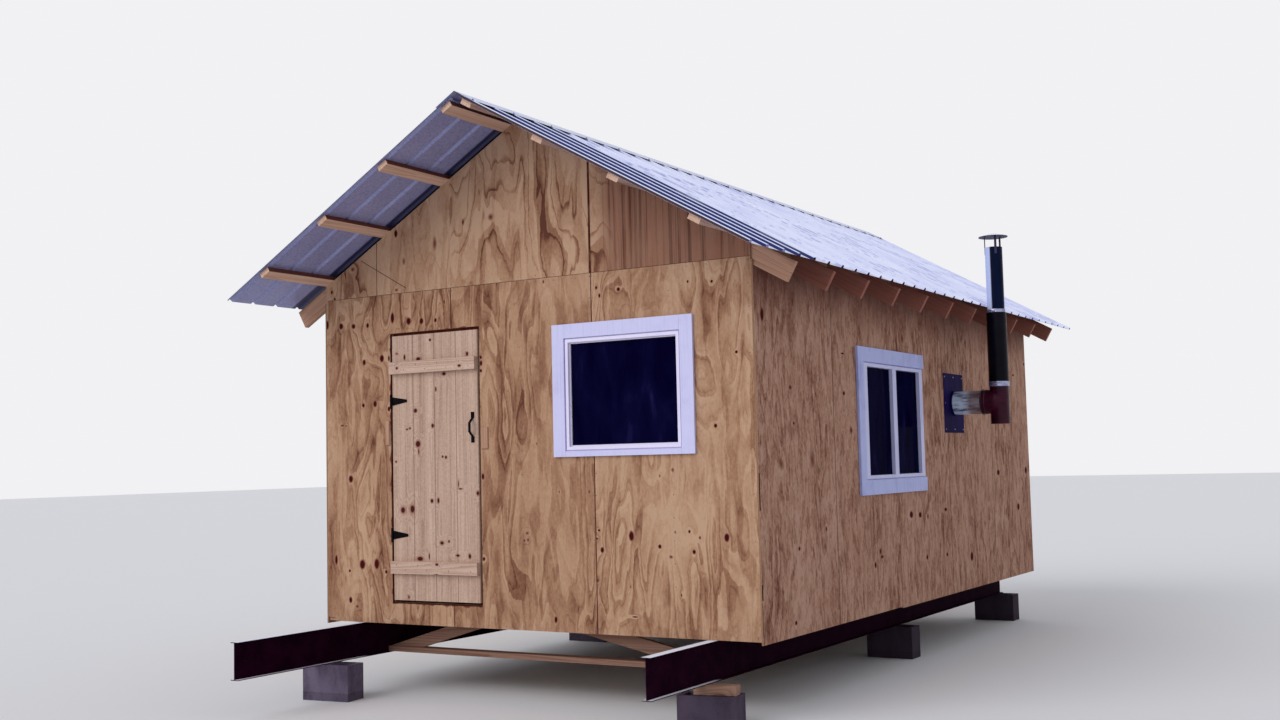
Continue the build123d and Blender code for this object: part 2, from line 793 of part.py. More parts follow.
def windows():
    """The fixed front window and the two-pane side window, with their trim."""
    low = front_window_left
    high = low + front_window_width
    bottom = front_window_sill
    top = bottom + front_window_height
    frame, panes = framed_opening(low, high, bottom, top, front_frame_face, front_frame_face, 0)
    nodes["front_window_frame"] = [frame]
    glass = list(panes)
    boards = trim_boards(low, high, bottom, top, front_trim_width, front_bottom_trim, True)
    nodes["front_window_trim"] = boards
    to_side = Plane(origin=(wall_face, 0, 0), x_dir=(0, 1, 0), z_dir=(0, 0, 1))
    low = side_window_start
    high = low + side_window_width
    bottom = side_window_sill
    top = bottom + side_window_height
    frame, panes = framed_opening(low, high, bottom, top, side_stile, side_rail, side_mullion)
    boards = trim_boards(low, high, bottom, top, side_trim_width, side_trim_width, False)
    nodes["side_window_frame"] = [to_side * frame]
    nodes["window_glass"] = glass + [to_side * pane for pane in panes]
    nodes["side_window_trim"] = [to_side * board for board in boards]


def stovepipe():
    """The pipe out of the right wall, up beside the eave, and its cap."""
    plate_face = wall_face + plate_thickness
    low_y = pipe_y - plate_size / 2
    low_z = pipe_z - plate_size / 2
    plate = block(wall_face, plate_face, low_y, low_y + plate_size, low_z, low_z + plate_size)
    inside_x = shell_width - timber_width - run_inside
    thimble = plate + level(plate_face, pipe_y, pipe_z, sleeve_radius, sleeve_length)
    thimble -= level(inside_x, pipe_y, pipe_z, run_radius + pipe_play, chimney_x - inside_x)
    nodes["wall_thimble"] = [thimble]
    branch_start = chimney_x - tee_radius - branch_length
    run = level(inside_x, pipe_y, pipe_z, run_radius, branch_start - inside_x)
    run_bore = branch_start - inside_x + 2 * cut_over
    run -= level(inside_x - cut_over, pipe_y, pipe_z, run_radius - pipe_wall, run_bore)
    nodes["pipe_run"] = [run]
    low = pipe_z - tee_below
    elbow_x = chimney_x - elbow_offset
    elbow = Pos(elbow_x, pipe_y, pipe_z)
    tee = upright(chimney_x, pipe_y, low, tee_radius, tee_above + tee_below)
    tee += level(branch_start, pipe_y, pipe_z, branch_rim_radius, pipe_wall)
    tee += level(branch_start, pipe_y, pipe_z, branch_radius, elbow_x - branch_start)
    tee += elbow * Sphere(branch_radius)
    tee -= upright(chimney_x, pipe_y, low + pipe_wall, tee_radius - pipe_wall, tee_above + tee_below)
    tee -= level(branch_start - cut_over, pipe_y, pipe_z, run_radius - pipe_wall, elbow_x - branch_start + cut_over)
    tee -= elbow * Sphere(branch_radius - pipe_wall)
    nodes["pipe_tee"] = [tee]
    lower = upright(chimney_x, pipe_y, tee_top, lower_pipe_radius, lower_pipe_length)
    lower_bore = lower_pipe_length + 2 * cut_over
    lower -= upright(chimney_x, pipe_y, tee_top - cut_over, flue_radius, lower_bore)
    nodes["chimney_lower"] = [lower]
    upper = upright(chimney_x, pipe_y, lower_pipe_top, upper_pipe_radius, upper_pipe_length)
    upper_bore = upper_pipe_length + 2 * cut_over
    upper -= upright(chimney_x, pipe_y, lower_pipe_top - cut_over, flue_radius, upper_bore)
    nodes["chimney_upper"] = [upper]
    disc = upright(chimney_x, pipe_y, cap_z, cap_radius, cap_plate_thickness)
    cone = Pos(chimney_x, pipe_y, cap_z + cap_plate_thickness + cap_cone_height / 2)
    disc += cone * Cone(cap_radius, cap_plate_thickness, cap_cone_height)
    leg = block(upper_pipe_radius, upper_pipe_radius + pipe_wall, -cap_leg_width / 2, cap_leg_width / 2,
                upper_pipe_top - cap_leg_lap, cap_z)
    for i in range(cap_leg_count):
        turn = cap_leg_turn + full_turn * i / cap_leg_count
        disc += Pos(chimney_x, pipe_y, 0) * Rot(0, 0, turn) * leg
    nodes["chimney_cap"] = [disc]


def build():
    """Make every piece and write one file for each node."""
    os.makedirs("parts", exist_ok=True)
    piers()
    underframe()
    floor()
    wall_frame()
    gable_studs()
    rafters()
    purlins()
    roof_metal()
    front_sheets()
    back_and_side_sheets()
    door()
    hinges()
    handle()
    windows()
    stovepipe()
    for name, pieces in nodes.items():
        solids = []
        for piece in pieces:
            solids += solids_of(to_ground * piece)
        export_step(Compound(children=solids), f"parts/{name}.step")


build()
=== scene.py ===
"""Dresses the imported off-grid cabin: plywood, boards, metal, glass, fastenings, camera and light.

Sizes are in millimetres and are set out as a carpenter would: from the front left corner of the
floor frame, at the top of the steel beams, with X to the right, Y into the building and Z up.
Inside a material a point is in metres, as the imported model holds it.
"""
import logging
import math
from dataclasses import dataclass
from enum import Enum
from typing import Callable, ClassVar, Optional, Union

import bmesh
import bpy
from mathutils import Matrix, Vector


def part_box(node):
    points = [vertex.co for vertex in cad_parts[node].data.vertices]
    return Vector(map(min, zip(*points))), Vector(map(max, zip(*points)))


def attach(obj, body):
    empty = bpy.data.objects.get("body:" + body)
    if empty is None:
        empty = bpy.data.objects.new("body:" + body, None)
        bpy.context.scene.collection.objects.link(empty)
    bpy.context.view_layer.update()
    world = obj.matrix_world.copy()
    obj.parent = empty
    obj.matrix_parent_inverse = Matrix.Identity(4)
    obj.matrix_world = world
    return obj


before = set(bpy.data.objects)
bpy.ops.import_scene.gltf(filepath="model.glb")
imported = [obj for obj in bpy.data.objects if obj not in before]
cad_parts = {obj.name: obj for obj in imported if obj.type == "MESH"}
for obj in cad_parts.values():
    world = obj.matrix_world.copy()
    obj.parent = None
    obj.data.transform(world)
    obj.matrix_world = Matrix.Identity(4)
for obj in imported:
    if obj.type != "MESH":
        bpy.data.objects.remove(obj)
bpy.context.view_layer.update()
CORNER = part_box("front_sheet_left")[0]
LOG = logging.getLogger("cabin")

# A millimetre in metres, and a metre in millimetres.
MM = 0.001
METRE = 1000.0

# The plywood sheets are half as wide as they are tall, and they set the size of the walls.
SHEET = 1219.0
WALL_WIDTH = 3 * SHEET
WALL_LENGTH = 5 * SHEET
WALL_HEIGHT = 2 * SHEET

UP = Vector((0, 0, 1))
FRONT = Vector((0, -1, 0))
BACK = Vector((0, 1, 0))
LEFT = Vector((-1, 0, 0))
RIGHT = Vector((1, 0, 0))

# Red, green, blue and alpha, in linear light.
Colour = tuple[float, float, float, float]
# The left, right, foot and head of something on a wall, in millimetres.
Edges = tuple[float, float, float, float]
# What a node's socket takes.
Value = Union["Wire", float, int, tuple]


def linear(level: int) -> float:
    """The linear light of one 8-bit screen level, by the usual screen curve."""
    share = level / 255
    return share / 12.92 if share <= 0.04045 else ((share + 0.055) / 1.055) ** 2.4


def tint(red: int, green: int, blue: int) -> Colour:
    """The linear colour of an 8-bit screen colour."""
    return linear(red), linear(green), linear(blue), 1.0


def spot(x: float, y: float, z: float) -> Vector:
    """A set-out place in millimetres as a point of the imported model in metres."""
    return CORNER + Vector((x, y, z)) * MM


class Wire:
    """One output of a material's node, with Python's arithmetic."""

    def __init__(self, bench: "Bench", socket: bpy.types.NodeSocket) -> None:
        """Keep the material that the socket belongs to beside it."""
        self.bench = bench
        self.socket = socket

    def out(self, name: Union[str, int]) -> "Wire":
        """Another output of the same node."""
        return Wire(self.bench, self.socket.node.outputs[name])

    def maths(self, operation: str, *values: Value) -> "Wire":
        """A Math node over the given values, this wire among them."""
        return self.bench.node("ShaderNodeMath", {"operation": operation}, dict(enumerate(values)))

    def __add__(self, other: Value) -> "Wire":
        """This plus other."""
        return self.maths("ADD", self, other)

    def __radd__(self, other: Value) -> "Wire":
        """Other plus this."""
        return self.maths("ADD", other, self)

    def __sub__(self, other: Value) -> "Wire":
        """This minus other."""
        return self.maths("SUBTRACT", self, other)

    def __rsub__(self, other: Value) -> "Wire":
        """Other minus this."""
        return self.maths("SUBTRACT", other, self)

    def __mul__(self, other: Value) -> "Wire":
        """This times other."""
        return self.maths("MULTIPLY", self, other)

    def __rmul__(self, other: Value) -> "Wire":
        """Other times this."""
        return self.maths("MULTIPLY", other, self)

    def __truediv__(self, other: Value) -> "Wire":
        """This over other."""
        return self.maths("DIVIDE", self, other)

    def __abs__(self) -> "Wire":
        """This without its sign."""
        return self.maths("ABSOLUTE", self)

    def floor(self) -> "Wire":
        """The whole part of this."""
        return self.maths("FLOOR", self)

    def fraction(self) -> "Wire":
        """What is left of this over its whole part."""
        return self.maths("FRACT", self)

    def least(self, other: Value) -> "Wire":
        """The smaller of this and other."""
        return self.maths("MINIMUM", self, other)

    def most(self, other: Value) -> "Wire":
        """The larger of this and other."""
        return self.maths("MAXIMUM", self, other)

    def rise(self, low: float, high: float) -> "Wire":
        """0 up to low and 1 from high on, with a smooth step between; low may be the larger."""
        names = {"Value": self, "From Min": low, "From Max": high}
        return self.bench.node("ShaderNodeMapRange", {"interpolation_type": "SMOOTHSTEP"}, names)


class Bench:
    """A node tree in the making, of a material or the world, and the one method that adds to it."""

    def __init__(self, owner: Union[bpy.types.Material, bpy.types.World]) -> None:
        """Empty the owner's node tree.

        Args:
            owner: the material or world whose nodes are made here.
        """
        self.owner = owner
        owner.use_nodes = True
        self.tree = owner.node_tree
        self.tree.nodes.clear()

    def node(self, kind: str, settings: Optional[dict] = None, inputs: Optional[dict] = None,
             output: Union[str, int] = 0) -> Optional[Wire]:
        """Add a node.

        Args:
            kind: the node's type.
            settings: its properties, set first; "stops" fills a colour ramp.
            inputs: values or wires by socket name or number.
            output: the output that is handed back.

        Returns:
            The chosen output as a wire, or None from a node without outputs.
        """
        made = self.tree.nodes.new(kind)
        for key, value in (settings or {}).items():
            if key == "stops":
                self.fill_ramp(made.color_ramp, value)
            else:
                setattr(made, key, value)
        for key, value in (inputs or {}).items():
            if isinstance(value, Wire):
                self.tree.links.new(value.socket, made.inputs[key])
            else:
                made.inputs[key].default_value = value
        return Wire(self, made.outputs[output]) if made.outputs else None

    @staticmethod
    def fill_ramp(ramp: bpy.types.ColorRamp, stops: tuple) -> None:
        """Give a colour ramp its stops.

        Args:
            ramp: the ramp, with the two stops that it starts with.
            stops: a (place, colour) pair for each stop.
        """
        while len(ramp.elements) < len(stops):
            ramp.elements.new(0.5)
        for element, (place, colour) in zip(ramp.elements, stops):
            element.position = place
            element.color = colour

    def place(self) -> Wire:
        """The point on the object, in metres."""
        return self.node("ShaderNodeTexCoord", output="Object")

    def facing(self) -> Wire:
        """The direction that the object's surface faces."""
        return self.node("ShaderNodeTexCoord", output="Normal")

    def split(self, vector: Wire) -> tuple[Wire, Wire, Wire]:
        """The three parts of a vector."""
        whole = self.node("ShaderNodeSeparateXYZ", inputs={0: vector})
        return whole, whole.out(1), whole.out(2)

    def point(self, x: Value, y: Value, z: Value) -> Wire:
        """A vector from its three parts."""
        return self.node("ShaderNodeCombineXYZ", inputs={0: x, 1: y, 2: z})

    def vector(self, operation: str, *values: Value) -> Wire:
        """A Vector Math node; LENGTH hands back its number."""
        output = "Value" if operation == "LENGTH" else "Vector"
        return self.node("ShaderNodeVectorMath", {"operation": operation}, dict(enumerate(values)), output)

    def noise(self, where: Value, scale: float, detail: float = 2.0, rough: float = 0.5,
              bend: float = 0.0, output: str = "Fac") -> Wire:
        """Cloudy noise from 0 to 1."""
        names = {"Vector": where, "Scale": scale, "Detail": detail, "Roughness": rough, "Distortion": bend}
        return self.node("ShaderNodeTexNoise", inputs=names, output=output)

    def cells(self, where: Value, scale: float) -> Wire:
        """Cell noise: the distance to the nearest seed."""
        names = {"Vector": where, "Scale": scale}
        return self.node("ShaderNodeTexVoronoi", inputs=names, output="Distance")

    def chance(self, whole: Value) -> Wire:
        """A number from 0 to 1 that differs for each value of whole."""
        return self.node("ShaderNodeTexWhiteNoise", {"noise_dimensions": "1D"}, {"W": whole}, "Value")

    def ramp(self, value: Value, *stops: tuple[float, Colour]) -> Wire:
        """A colour for each level of a value."""
        return self.node("ShaderNodeValToRGB", {"stops": stops}, {0: value}, "Color")

    def blend(self, share: Value, first: Value, second: Value, how: str = "MIX") -> Wire:
        """First where share is 0 and second where it is 1."""
        settings = {"data_type": "RGBA", "blend_type": how}
        return self.node("ShaderNodeMix", settings, {0: share, 6: first, 7: second}, 2)

    def bump(self, height: Value, depth: float) -> Wire:
        """A surface direction tilted by a height that is depth metres at 1."""
        return self.node("ShaderNodeBump", inputs={"Height": height, "Distance": depth})

    def finish(self, **sockets: Value) -> bpy.types.Material:
        """Join a Principled shader to the output.

        Args:
            sockets: the shader's values or wires, by socket name with _ for a space.

        Returns:
            The finished material.
        """
        names = {key.replace("_", " "): value for key, value in sockets.items()}
        shader = self.node("ShaderNodeBsdfPrincipled", inputs=names)
        self.node("ShaderNodeOutputMaterial", inputs={"Surface": shader})
        return self.owner


class Axis(Enum):
    """An axis of the model, by its place in a vector."""

    X = 0
    Y = 1
    Z = 2


@dataclass(frozen=True)
class RoofLines:
    """The pitch, ridge and ribs that both slopes of the roof share.

    Attributes:
        pitch: the slope's angle.
        ridge_x: where the rafters' tops meet, across the cabin.
        ridge_z: how high they meet.
        front: how far in front of the wall the metal starts.
        rib_inset: how far behind its edge the first rib's middle lies.
        rib_spacing: how far apart the ribs lie.
        rib_count: how many ribs a slope has.
        purlin_rows: how far down the slope each purlin below the cap lies.
    """

    pitch: float = math.radians(29.5)
    ridge_x: float = WALL_WIDTH / 2
    ridge_z: float = 3583.015
    front: float = -691.0
    rib_inset: float = 22.0
    rib_spacing: float = 228.6
    rib_count: int = 33
    purlin_rows: tuple[float, ...] = (741.7, 1396.8, 2051.5)

    def rib(self, number: int) -> float:
        """How far back a rib's middle lies."""
        return self.front + self.rib_inset + number * self.rib_spacing

    def down(self, x: Wire, z: Wire) -> Wire:
        """How far down its slope a point lies from the ridge."""
        ridge = spot(self.ridge_x, 0, self.ridge_z)
        return abs(x - ridge.x) * math.cos(self.pitch) - (z - ridge.z) * math.sin(self.pitch)

    def above(self, x: Wire, z: Wire) -> Wire:
        """How far above the rafters a point lies, square to its slope."""
        ridge = spot(self.ridge_x, 0, self.ridge_z)
        return abs(x - ridge.x) * math.sin(self.pitch) + (z - ridge.z) * math.cos(self.pitch)

    def point(self, down: float, above: float, y: float, side: int) -> Vector:
        """A point on a slope.

        Args:
            down: millimetres down the slope from the ridge.
            above: millimetres above the rafters.
            y: millimetres back from the front wall.
            side: -1 on the left slope and 1 on the right.

        Returns:
            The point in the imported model.
        """
        x = down * math.cos(self.pitch) + above * math.sin(self.pitch)
        z = self.ridge_z - down * math.sin(self.pitch) + above * math.cos(self.pitch)
        return spot(self.ridge_x + side * x, y, z)

    def out(self, side: int) -> Vector:
        """The direction that a slope faces."""
        return Vector((side * math.sin(self.pitch), 0, math.cos(self.pitch)))


ROOF = RoofLines()


@dataclass(frozen=True)
class Knot:
    """A knot in a veneer or a board, set out in millimetres across and up.

    A depth under 1 makes a paler knot: it starts part of the way out toward its own rim.
    """

    across: float
    up: float
    half_width: float
    half_height: float
    depth: float = 1.0

    def set_back(self) -> float:
        """How far out toward its rim the knot starts, in its own radii."""
        return 0.0 if self.depth == 1 else 1.10 - 0.6 * self.depth


def knots(*rows: tuple[float, ...]) -> tuple[Knot, ...]:
    """Knots from rows of across, up, half width, half height and, for a paler one, depth."""
    return tuple(Knot(*row) for row in rows)


class Finish:
    """A surface that is made a material once and then shared."""

    name: str
    made: ClassVar[dict[str, bpy.types.Material]] = {}

    def paint(self, bench: Bench) -> bpy.types.Material:
        """Build the nodes of the finish."""
        raise NotImplementedError

    def material(self) -> bpy.types.Material:
        """The finish's material, made on the first call.

        Returns:
            The material that every surface with this finish shares.
        """
        if self.name not in Finish.made:
            Finish.made[self.name] = self.paint(Bench(bpy.data.materials.new(self.name)))
        return Finish.made[self.name]


def knot_reach(bench: Bench, place: Wire, across: Axis, marks: tuple[Knot, ...]) -> Wire:
    """How far a point lies from the nearest knot, in that knot's own radii.

    Args:
        bench: the material.
        place: the point on the object.
        across: the axis that the knots' across sizes are on.
        marks: the knots, at least one.

    Returns:
        0 at a knot's middle and 1 on its rim.
    """
    nearest: Optional[Wire] = None
    through = 1 - across.value
    for knot in marks:
        middle = spot(knot.across, knot.across, knot.up)
        scale = [0.0, 0.0, 1 / (knot.half_height * MM)]
        scale[across.value] = 1 / (knot.half_width * MM)
        shift = [-middle[i] * scale[i] for i in range(3)]
        shift[through] = knot.set_back()
        reach = bench.vector("LENGTH", bench.vector("MULTIPLY_ADD", place, tuple(scale), tuple(shift)))
        nearest = reach if nearest is None else nearest.least(reach)
    return nearest


@dataclass(frozen=True)
class Face:
    """Where a point lies on a sheet: across it, along its grain and through it, in metres."""

    bench: Bench
    across: Wire
    along: Wire
    through: Wire

    def cloud(self, wide: float, tall: float, seed: Value = 0.0, detail: float = 2.0,
              rough: float = 0.5) -> Wire:
        """Noise with so many features a metre across and along the grain."""
        where = self.bench.point(self.across * wide, seed, self.along * tall)
        return self.bench.noise(where, 1.0, detail, rough)


@dataclass(frozen=True)
class Veneer(Finish):
    """Softwood plywood: peeled grain in soft pointed patches, knots, seams with painted shade and layered
    edges.

    Attributes:
        name: the material's name.
        across: the axis of the sheet's width.
        out: the axis that the sheet faces along.
        seed: a number that sets this figure apart from the others.
        knots: the knots that show.
        swirl: how many steps the figure runs through.
        stretch: how close the steps lie.
        lines: how dark the thin lines are.
        dashes: how dark the short dashes are.
        mottle: how strong the fine mottling is.
        size: how fine the patches are.
        tone: what is added to the darkness.
        contrast: how far the darkness spreads.
        wash: a colour that the wood is multiplied by.
        seams: the place and half width of each seam, painted with the shade in its gap.
        opening: the left, right, foot and head of a doorway sawn out of the sheet.
        striped_from: the seam beyond which the sheet is red and striped.
        eave: the height of the eave, under which painted shade darkens the wood.
        pencil: the across and up of both ends of a pencilled line.
        chips: the width, foot and head of each chip at the first edge, painted dark as the shade inside it.
    """

    name: str
    across: Axis
    out: Axis
    seed: float
    knots: tuple[Knot, ...] = ()
    swirl: float = 8.0
    stretch: float = 1.0
    lines: float = 0.15
    dashes: float = 0.12
    mottle: float = 0.48
    size: float = 1.0
    tone: float = 0.0
    contrast: float = 1.35
    wash: Optional[Colour] = None
    seams: tuple[tuple[float, float], ...] = ()
    opening: Optional[Edges] = None
    striped_from: Optional[float] = None
    eave: Optional[float] = None
    pencil: Optional[tuple[float, float, float, float]] = None
    chips: tuple[tuple[float, float, float], ...] = ()

    WOOD: ClassVar[tuple] = ((0.0, tint(190, 155, 128)), (0.35, tint(170, 131, 104)),
                             (0.6, tint(147, 107, 83)), (0.85, tint(122, 82, 63)), (1.0, tint(96, 58, 46)))
    HEART: ClassVar[tuple] = ((0.0, tint(44, 0, 8)), (0.75, tint(66, 4, 12)), (1.0, tint(104, 36, 30)))
    PLIES_PER_METRE: ClassVar[float] = 417.0

    def paint(self, bench: Bench) -> bpy.types.Material:
        """Peeled grain bent round the knots, then its marks and painted shade, one over the other.

        Args:
            bench: the empty material.

        Returns:
            The finished material.
        """
        place = bench.place()
        parts = bench.split(place)
        grain_axis = Axis.Y if self.out is Axis.Z else Axis.Z
        face = Face(bench, parts[self.across.value], parts[grain_axis.value], parts[self.out.value])
        sheet = ((face.across - CORNER[self.across.value]) * (METRE / SHEET)).floor()
        seed = bench.chance(sheet + self.seed) * 37.0 + self.seed
        reach = None
        if self.knots:
            ripple = bench.noise(place, 60.0, output="Color")
            bent = bench.vector("MULTIPLY_ADD", ripple, (0.005,) * 3, place)
            reach = knot_reach(bench, bent, self.across, self.knots)
        level, relief = self.grain(face, seed, reach)
        colour = bench.ramp(level, *self.WOOD)
        if self.wash:
            colour = bench.blend(1.0, colour, self.wash, "MULTIPLY")
        if self.striped_from is not None:
            colour = self.striped(face, colour)
        # Painted shade under the eave.
        if self.eave is not None:
            colour = self.painted_eave_shade(face, colour)
        pins = bench.cells(bench.point(face.across * 3.3, seed, face.along * 1.5), 1.0).rise(0.030, 0.018)
        colour = bench.blend(pins * 0.85, colour, tint(64, 28, 24))
        if reach is not None:
            colour, relief = self.knotted(bench, colour, relief, reach)
        # Painted shade in the gaps between sheets.
        for seam, half in self.seams:
            colour = self.seamed(face, colour, seam, half)
        # Painted shade in the chips at the first edge.
        for width, foot, head in self.chips:
            colour = self.chipped(face, colour, width, foot, head)
        if self.pencil:
            colour = self.pencilled(face, colour)
        colour = self.edged(face, colour, relief)
        if self.opening:
            colour = self.torn_edge_and_gap_shadow(face, colour)
        return bench.finish(Base_Color=colour, Roughness=0.85 - level * 0.1, Specular_IOR_Level=0.06,
                            Normal=bench.bump(relief, 0.0006))

    def grain(self, face: Face, seed: Wire, reach: Optional[Wire]) -> tuple[Wire, Wire]:
        """The darkness of the grain and its height.

        Args:
            face: the point on the sheet.
            seed: a number that differs from sheet to sheet.
            reach: the distance to the nearest knot in its own radii, if there are knots.

        Returns:
            The darkness, about 0 to 1, and the height, about 0 to 1.
        """
        bench, across, along = face.bench, face.across, face.along
        wobble = face.cloud(11.0, 4.0, seed, 3.0, 0.6) - 0.5
        shape = bench.point(across * 4.6 * self.stretch + wobble * 0.22, seed,
                            along * self.stretch + wobble * 0.09)
        swirls = bench.noise(shape, 1.0, 1.8, 0.45, 0.5) * self.swirl
        if reach is not None:
            swirls = swirls + reach.rise(4.0, 0.8) * (0.05 * self.swirl - 0.1)
        ring = swirls.fraction()
        step = ring.rise(0.05, 0.95) * ring.rise(1.0, 0.97)
        thin = (swirls * 2.0 + 0.35).fraction()
        line = thin.rise(0.72, 0.95) * thin.rise(1.0, 0.955)
        calm = face.cloud(2.1, 0.9, seed + 5.0).rise(0.36, 0.62)
        patch_place = bench.point(across * (9.0 * self.size) + wobble * 0.5, seed + 3.0,
                                  along * (1.8 * self.size * self.size))
        patch = bench.noise(patch_place, 1.0, 2.0, 0.5, 0.4).rise(0.49, 0.56)
        broad = face.cloud(2.6, 1.1, seed + 9.0, 3.0, 0.6)
        fleck = face.cloud(62.0, 6.0 * self.size, seed).rise(0.58, 0.72)
        mottle = face.cloud(60.0, 34.0, seed + 1.0, 3.0, 0.75)
        fibre = bench.noise(bench.point(across * 300.0, face.through * 300.0, along * 8.0), 1.0, 3.0, 0.7)
        level = step * (calm * 0.20 + 0.10) + patch * 0.18 + line * (calm * 0.7 + 0.3) * self.lines
        level = level + (broad - 0.5) * 0.55 + (mottle - 0.5) * self.mottle + (fibre - 0.5) * 0.20
        level = level + fleck * self.dashes * 0.5 + (0.15 + self.tone)
        return (level - 0.40) * self.contrast + 0.40, level * -0.5 + fibre * 0.6

    def striped(self, face: Face, colour: Wire) -> Wire:
        """The red heartwood sheet with straight dark stripes beyond a seam.

        Args:
            face: the point on the sheet.
            colour: the colour so far.

        Returns:
            The colour with the stripes.
        """
        bench = face.bench
        run = face.cloud(42.0, 0.5, 4.0, 3.0, 0.6).rise(0.46, 0.62)
        pale = face.cloud(6.0, 1.5, 8.0).rise(0.45, 0.7)
        red = bench.blend(run * 0.85, tint(142, 98, 80), tint(66, 28, 26))
        red = bench.blend(pale * 0.5, red, tint(150, 112, 92))
        start = spot(self.striped_from, 0, 0).x
        return bench.blend(face.across.rise(start + 0.02, start + 0.20) * 0.85, colour, red)

    def painted_eave_shade(self, face: Face, colour: Wire) -> Wire:
        """Painted shade: darker, redder wood close under the eave.

        Args:
            face: the point on the sheet.
            colour: the colour so far.

        Returns:
            The colour with the painted shade.
        """
        ragged = face.cloud(3.0, 1.5) * 0.25
        start, full = spot(0, 0, self.eave - 330).z, spot(0, 0, self.eave + 130).z
        return face.bench.blend((face.along + ragged).rise(start, full) * 0.8, colour, tint(92, 50, 46))

    def seamed(self, face: Face, colour: Wire, seam: float, half: float) -> Wire:
        """Painted shade in the gap where two sheets meet, broken in places.

        Args:
            face: the point on the sheet.
            colour: the colour so far.
            seam: where the seam lies across the wall, in millimetres.
            half: half its width, in millimetres.

        Returns:
            The colour with the seam's painted shade.
        """
        broken = face.cloud(0.0, 7.0, seam, 3.0).rise(0.30, 0.55)
        off = abs(face.across - spot(seam, seam, 0)[self.across.value])
        gap = off.rise(half * 1.3 * MM, half * 0.7 * MM)
        return face.bench.blend(gap * (1.0 - (1.0 - broken) * (2.0 / half)), colour, tint(66, 14, 14))

    def torn_edge_and_gap_shadow(self, face: Face, colour: Wire) -> Wire:
        """The stained, splintered rim that the saw left round a doorway, and a painted shadow of the gap
        round the door leaf.

        Args:
            face: the point on the sheet.
            colour: the colour so far.

        Returns:
            The colour with the rim and the painted shadow.
        """
        x0, x1, z0, z1 = self.opening
        low, high = spot(x0, x0, z0), spot(x1, x1, z1)
        middle, half = (low + high) / 2, (high - low) / 2
        side = abs(face.across - middle[self.across.value]) - half[self.across.value]
        out = side.most(abs(face.along - middle.z) - half.z)
        ragged = face.cloud(9.0, 9.0, 3.0, 4.0, 0.7)
        rim = (out - (ragged - 0.44) * 0.09).rise(0.008, -0.001)
        colour = face.bench.blend(rim * 0.85, colour, tint(92, 34, 26))
        # Painted shadow of the gap between the leaf and the sawn edge.
        return face.bench.blend(out.rise(0.012, 0.007) * 0.9, colour, tint(54, 12, 12))

    def chipped(self, face: Face, colour: Wire, width: float, foot: float, head: float) -> Wire:
        """A ragged void at the sheet's first edge, painted dark as the shade inside it.

        Args:
            face: the point on the sheet.
            colour: the colour so far.
            width: how far the gap reaches in from the edge, in millimetres.
            foot: the height at which it starts.
            head: the height at which it ends.

        Returns:
            The colour with the gap.
        """
        ragged = face.cloud(0.0, 60.0, foot, 3.0, 0.6) * 0.8 + 0.6
        near = ((face.across - CORNER[self.across.value]) / ragged).rise(width * MM, width * 0.6 * MM)
        middle, half = spot(0, 0, (foot + head) / 2).z, (head - foot) / 2 * MM
        gap = near * abs(face.along - middle).rise(half, half * 0.9)
        return face.bench.blend(gap, colour, tint(40, 6, 10))

    def knotted(self, bench: Bench, colour: Wire, relief: Wire, reach: Wire) -> tuple[Wire, Wire]:
        """Small hard knots: a dark heart, a red rim and a paler ring of wood round them.

        Args:
            bench: the material.
            colour: the colour so far.
            relief: the height so far.
            reach: the distance to the nearest knot, in its own radii.

        Returns:
            The colour and the height with the knots.
        """
        ring = reach.rise(2.6, 1.5) * reach.rise(1.05, 1.4)
        core = reach.rise(1.14, 0.88)
        colour = bench.blend(ring * 0.12, colour, tint(196, 164, 142))
        colour = bench.blend(reach.rise(1.45, 1.05) * 0.6, colour, tint(116, 66, 50))
        return bench.blend(core * 0.97, colour, bench.ramp(reach, *self.HEART)), relief - core * 0.9

    def edged(self, face: Face, colour: Wire, relief: Wire) -> Wire:
        """The face colour, with the plies showing on the sawn edges.

        Args:
            face: the point on the sheet.
            colour: the colour of the face.
            relief: the height of the grain.

        Returns:
            The colour of face and edges.
        """
        bench = face.bench
        facing = abs(bench.split(bench.facing())[self.out.value])
        layer = (face.through * self.PLIES_PER_METRE).fraction().rise(0.42, 0.58)
        plies = bench.blend(layer, tint(176, 142, 112), tint(104, 70, 52))
        edge = bench.blend(relief.rise(0.1, 0.6) * 0.5, plies, tint(84, 56, 44))
        return bench.blend(facing.rise(0.6, 0.4), colour, edge)

    def pencilled(self, face: Face, colour: Wire) -> Wire:
        """A straight pencilled line between two set-out points.

        Args:
            face: the point on the sheet.
            colour: the colour so far.

        Returns:
            The colour with the line.
        """
        x0, z0, x1, z1 = self.pencil
        start, end = spot(x0, x0, z0), spot(x1, x1, z1)
        run, drop = end[self.across.value] - start[self.across.value], end.z - start.z
        length = math.hypot(run, drop)
        beside, over = face.across - start[self.across.value], face.along - start.z
        off = beside * (drop / length) - over * (run / length)
        share = (beside * run + over * drop) / (length * length)
        line = abs(off).rise(0.005, 0.0025) * share.rise(-0.01, 0.01) * share.rise(1.01, 0.99)
        return face.bench.blend(line * 0.75, colour, tint(72, 46, 40))


DRAWN_OUT = 0.02


class Grain(Enum):
    """The way that a timber's grain runs, by how far each axis is drawn out; SLOPING follows the roof."""

    UPRIGHT = (1.0, 1.0, DRAWN_OUT)
    LENGTHWISE = (1.0, DRAWN_OUT, 1.0)
    CROSSWISE = (DRAWN_OUT, 1.0, 1.0)
    SLOPING = None


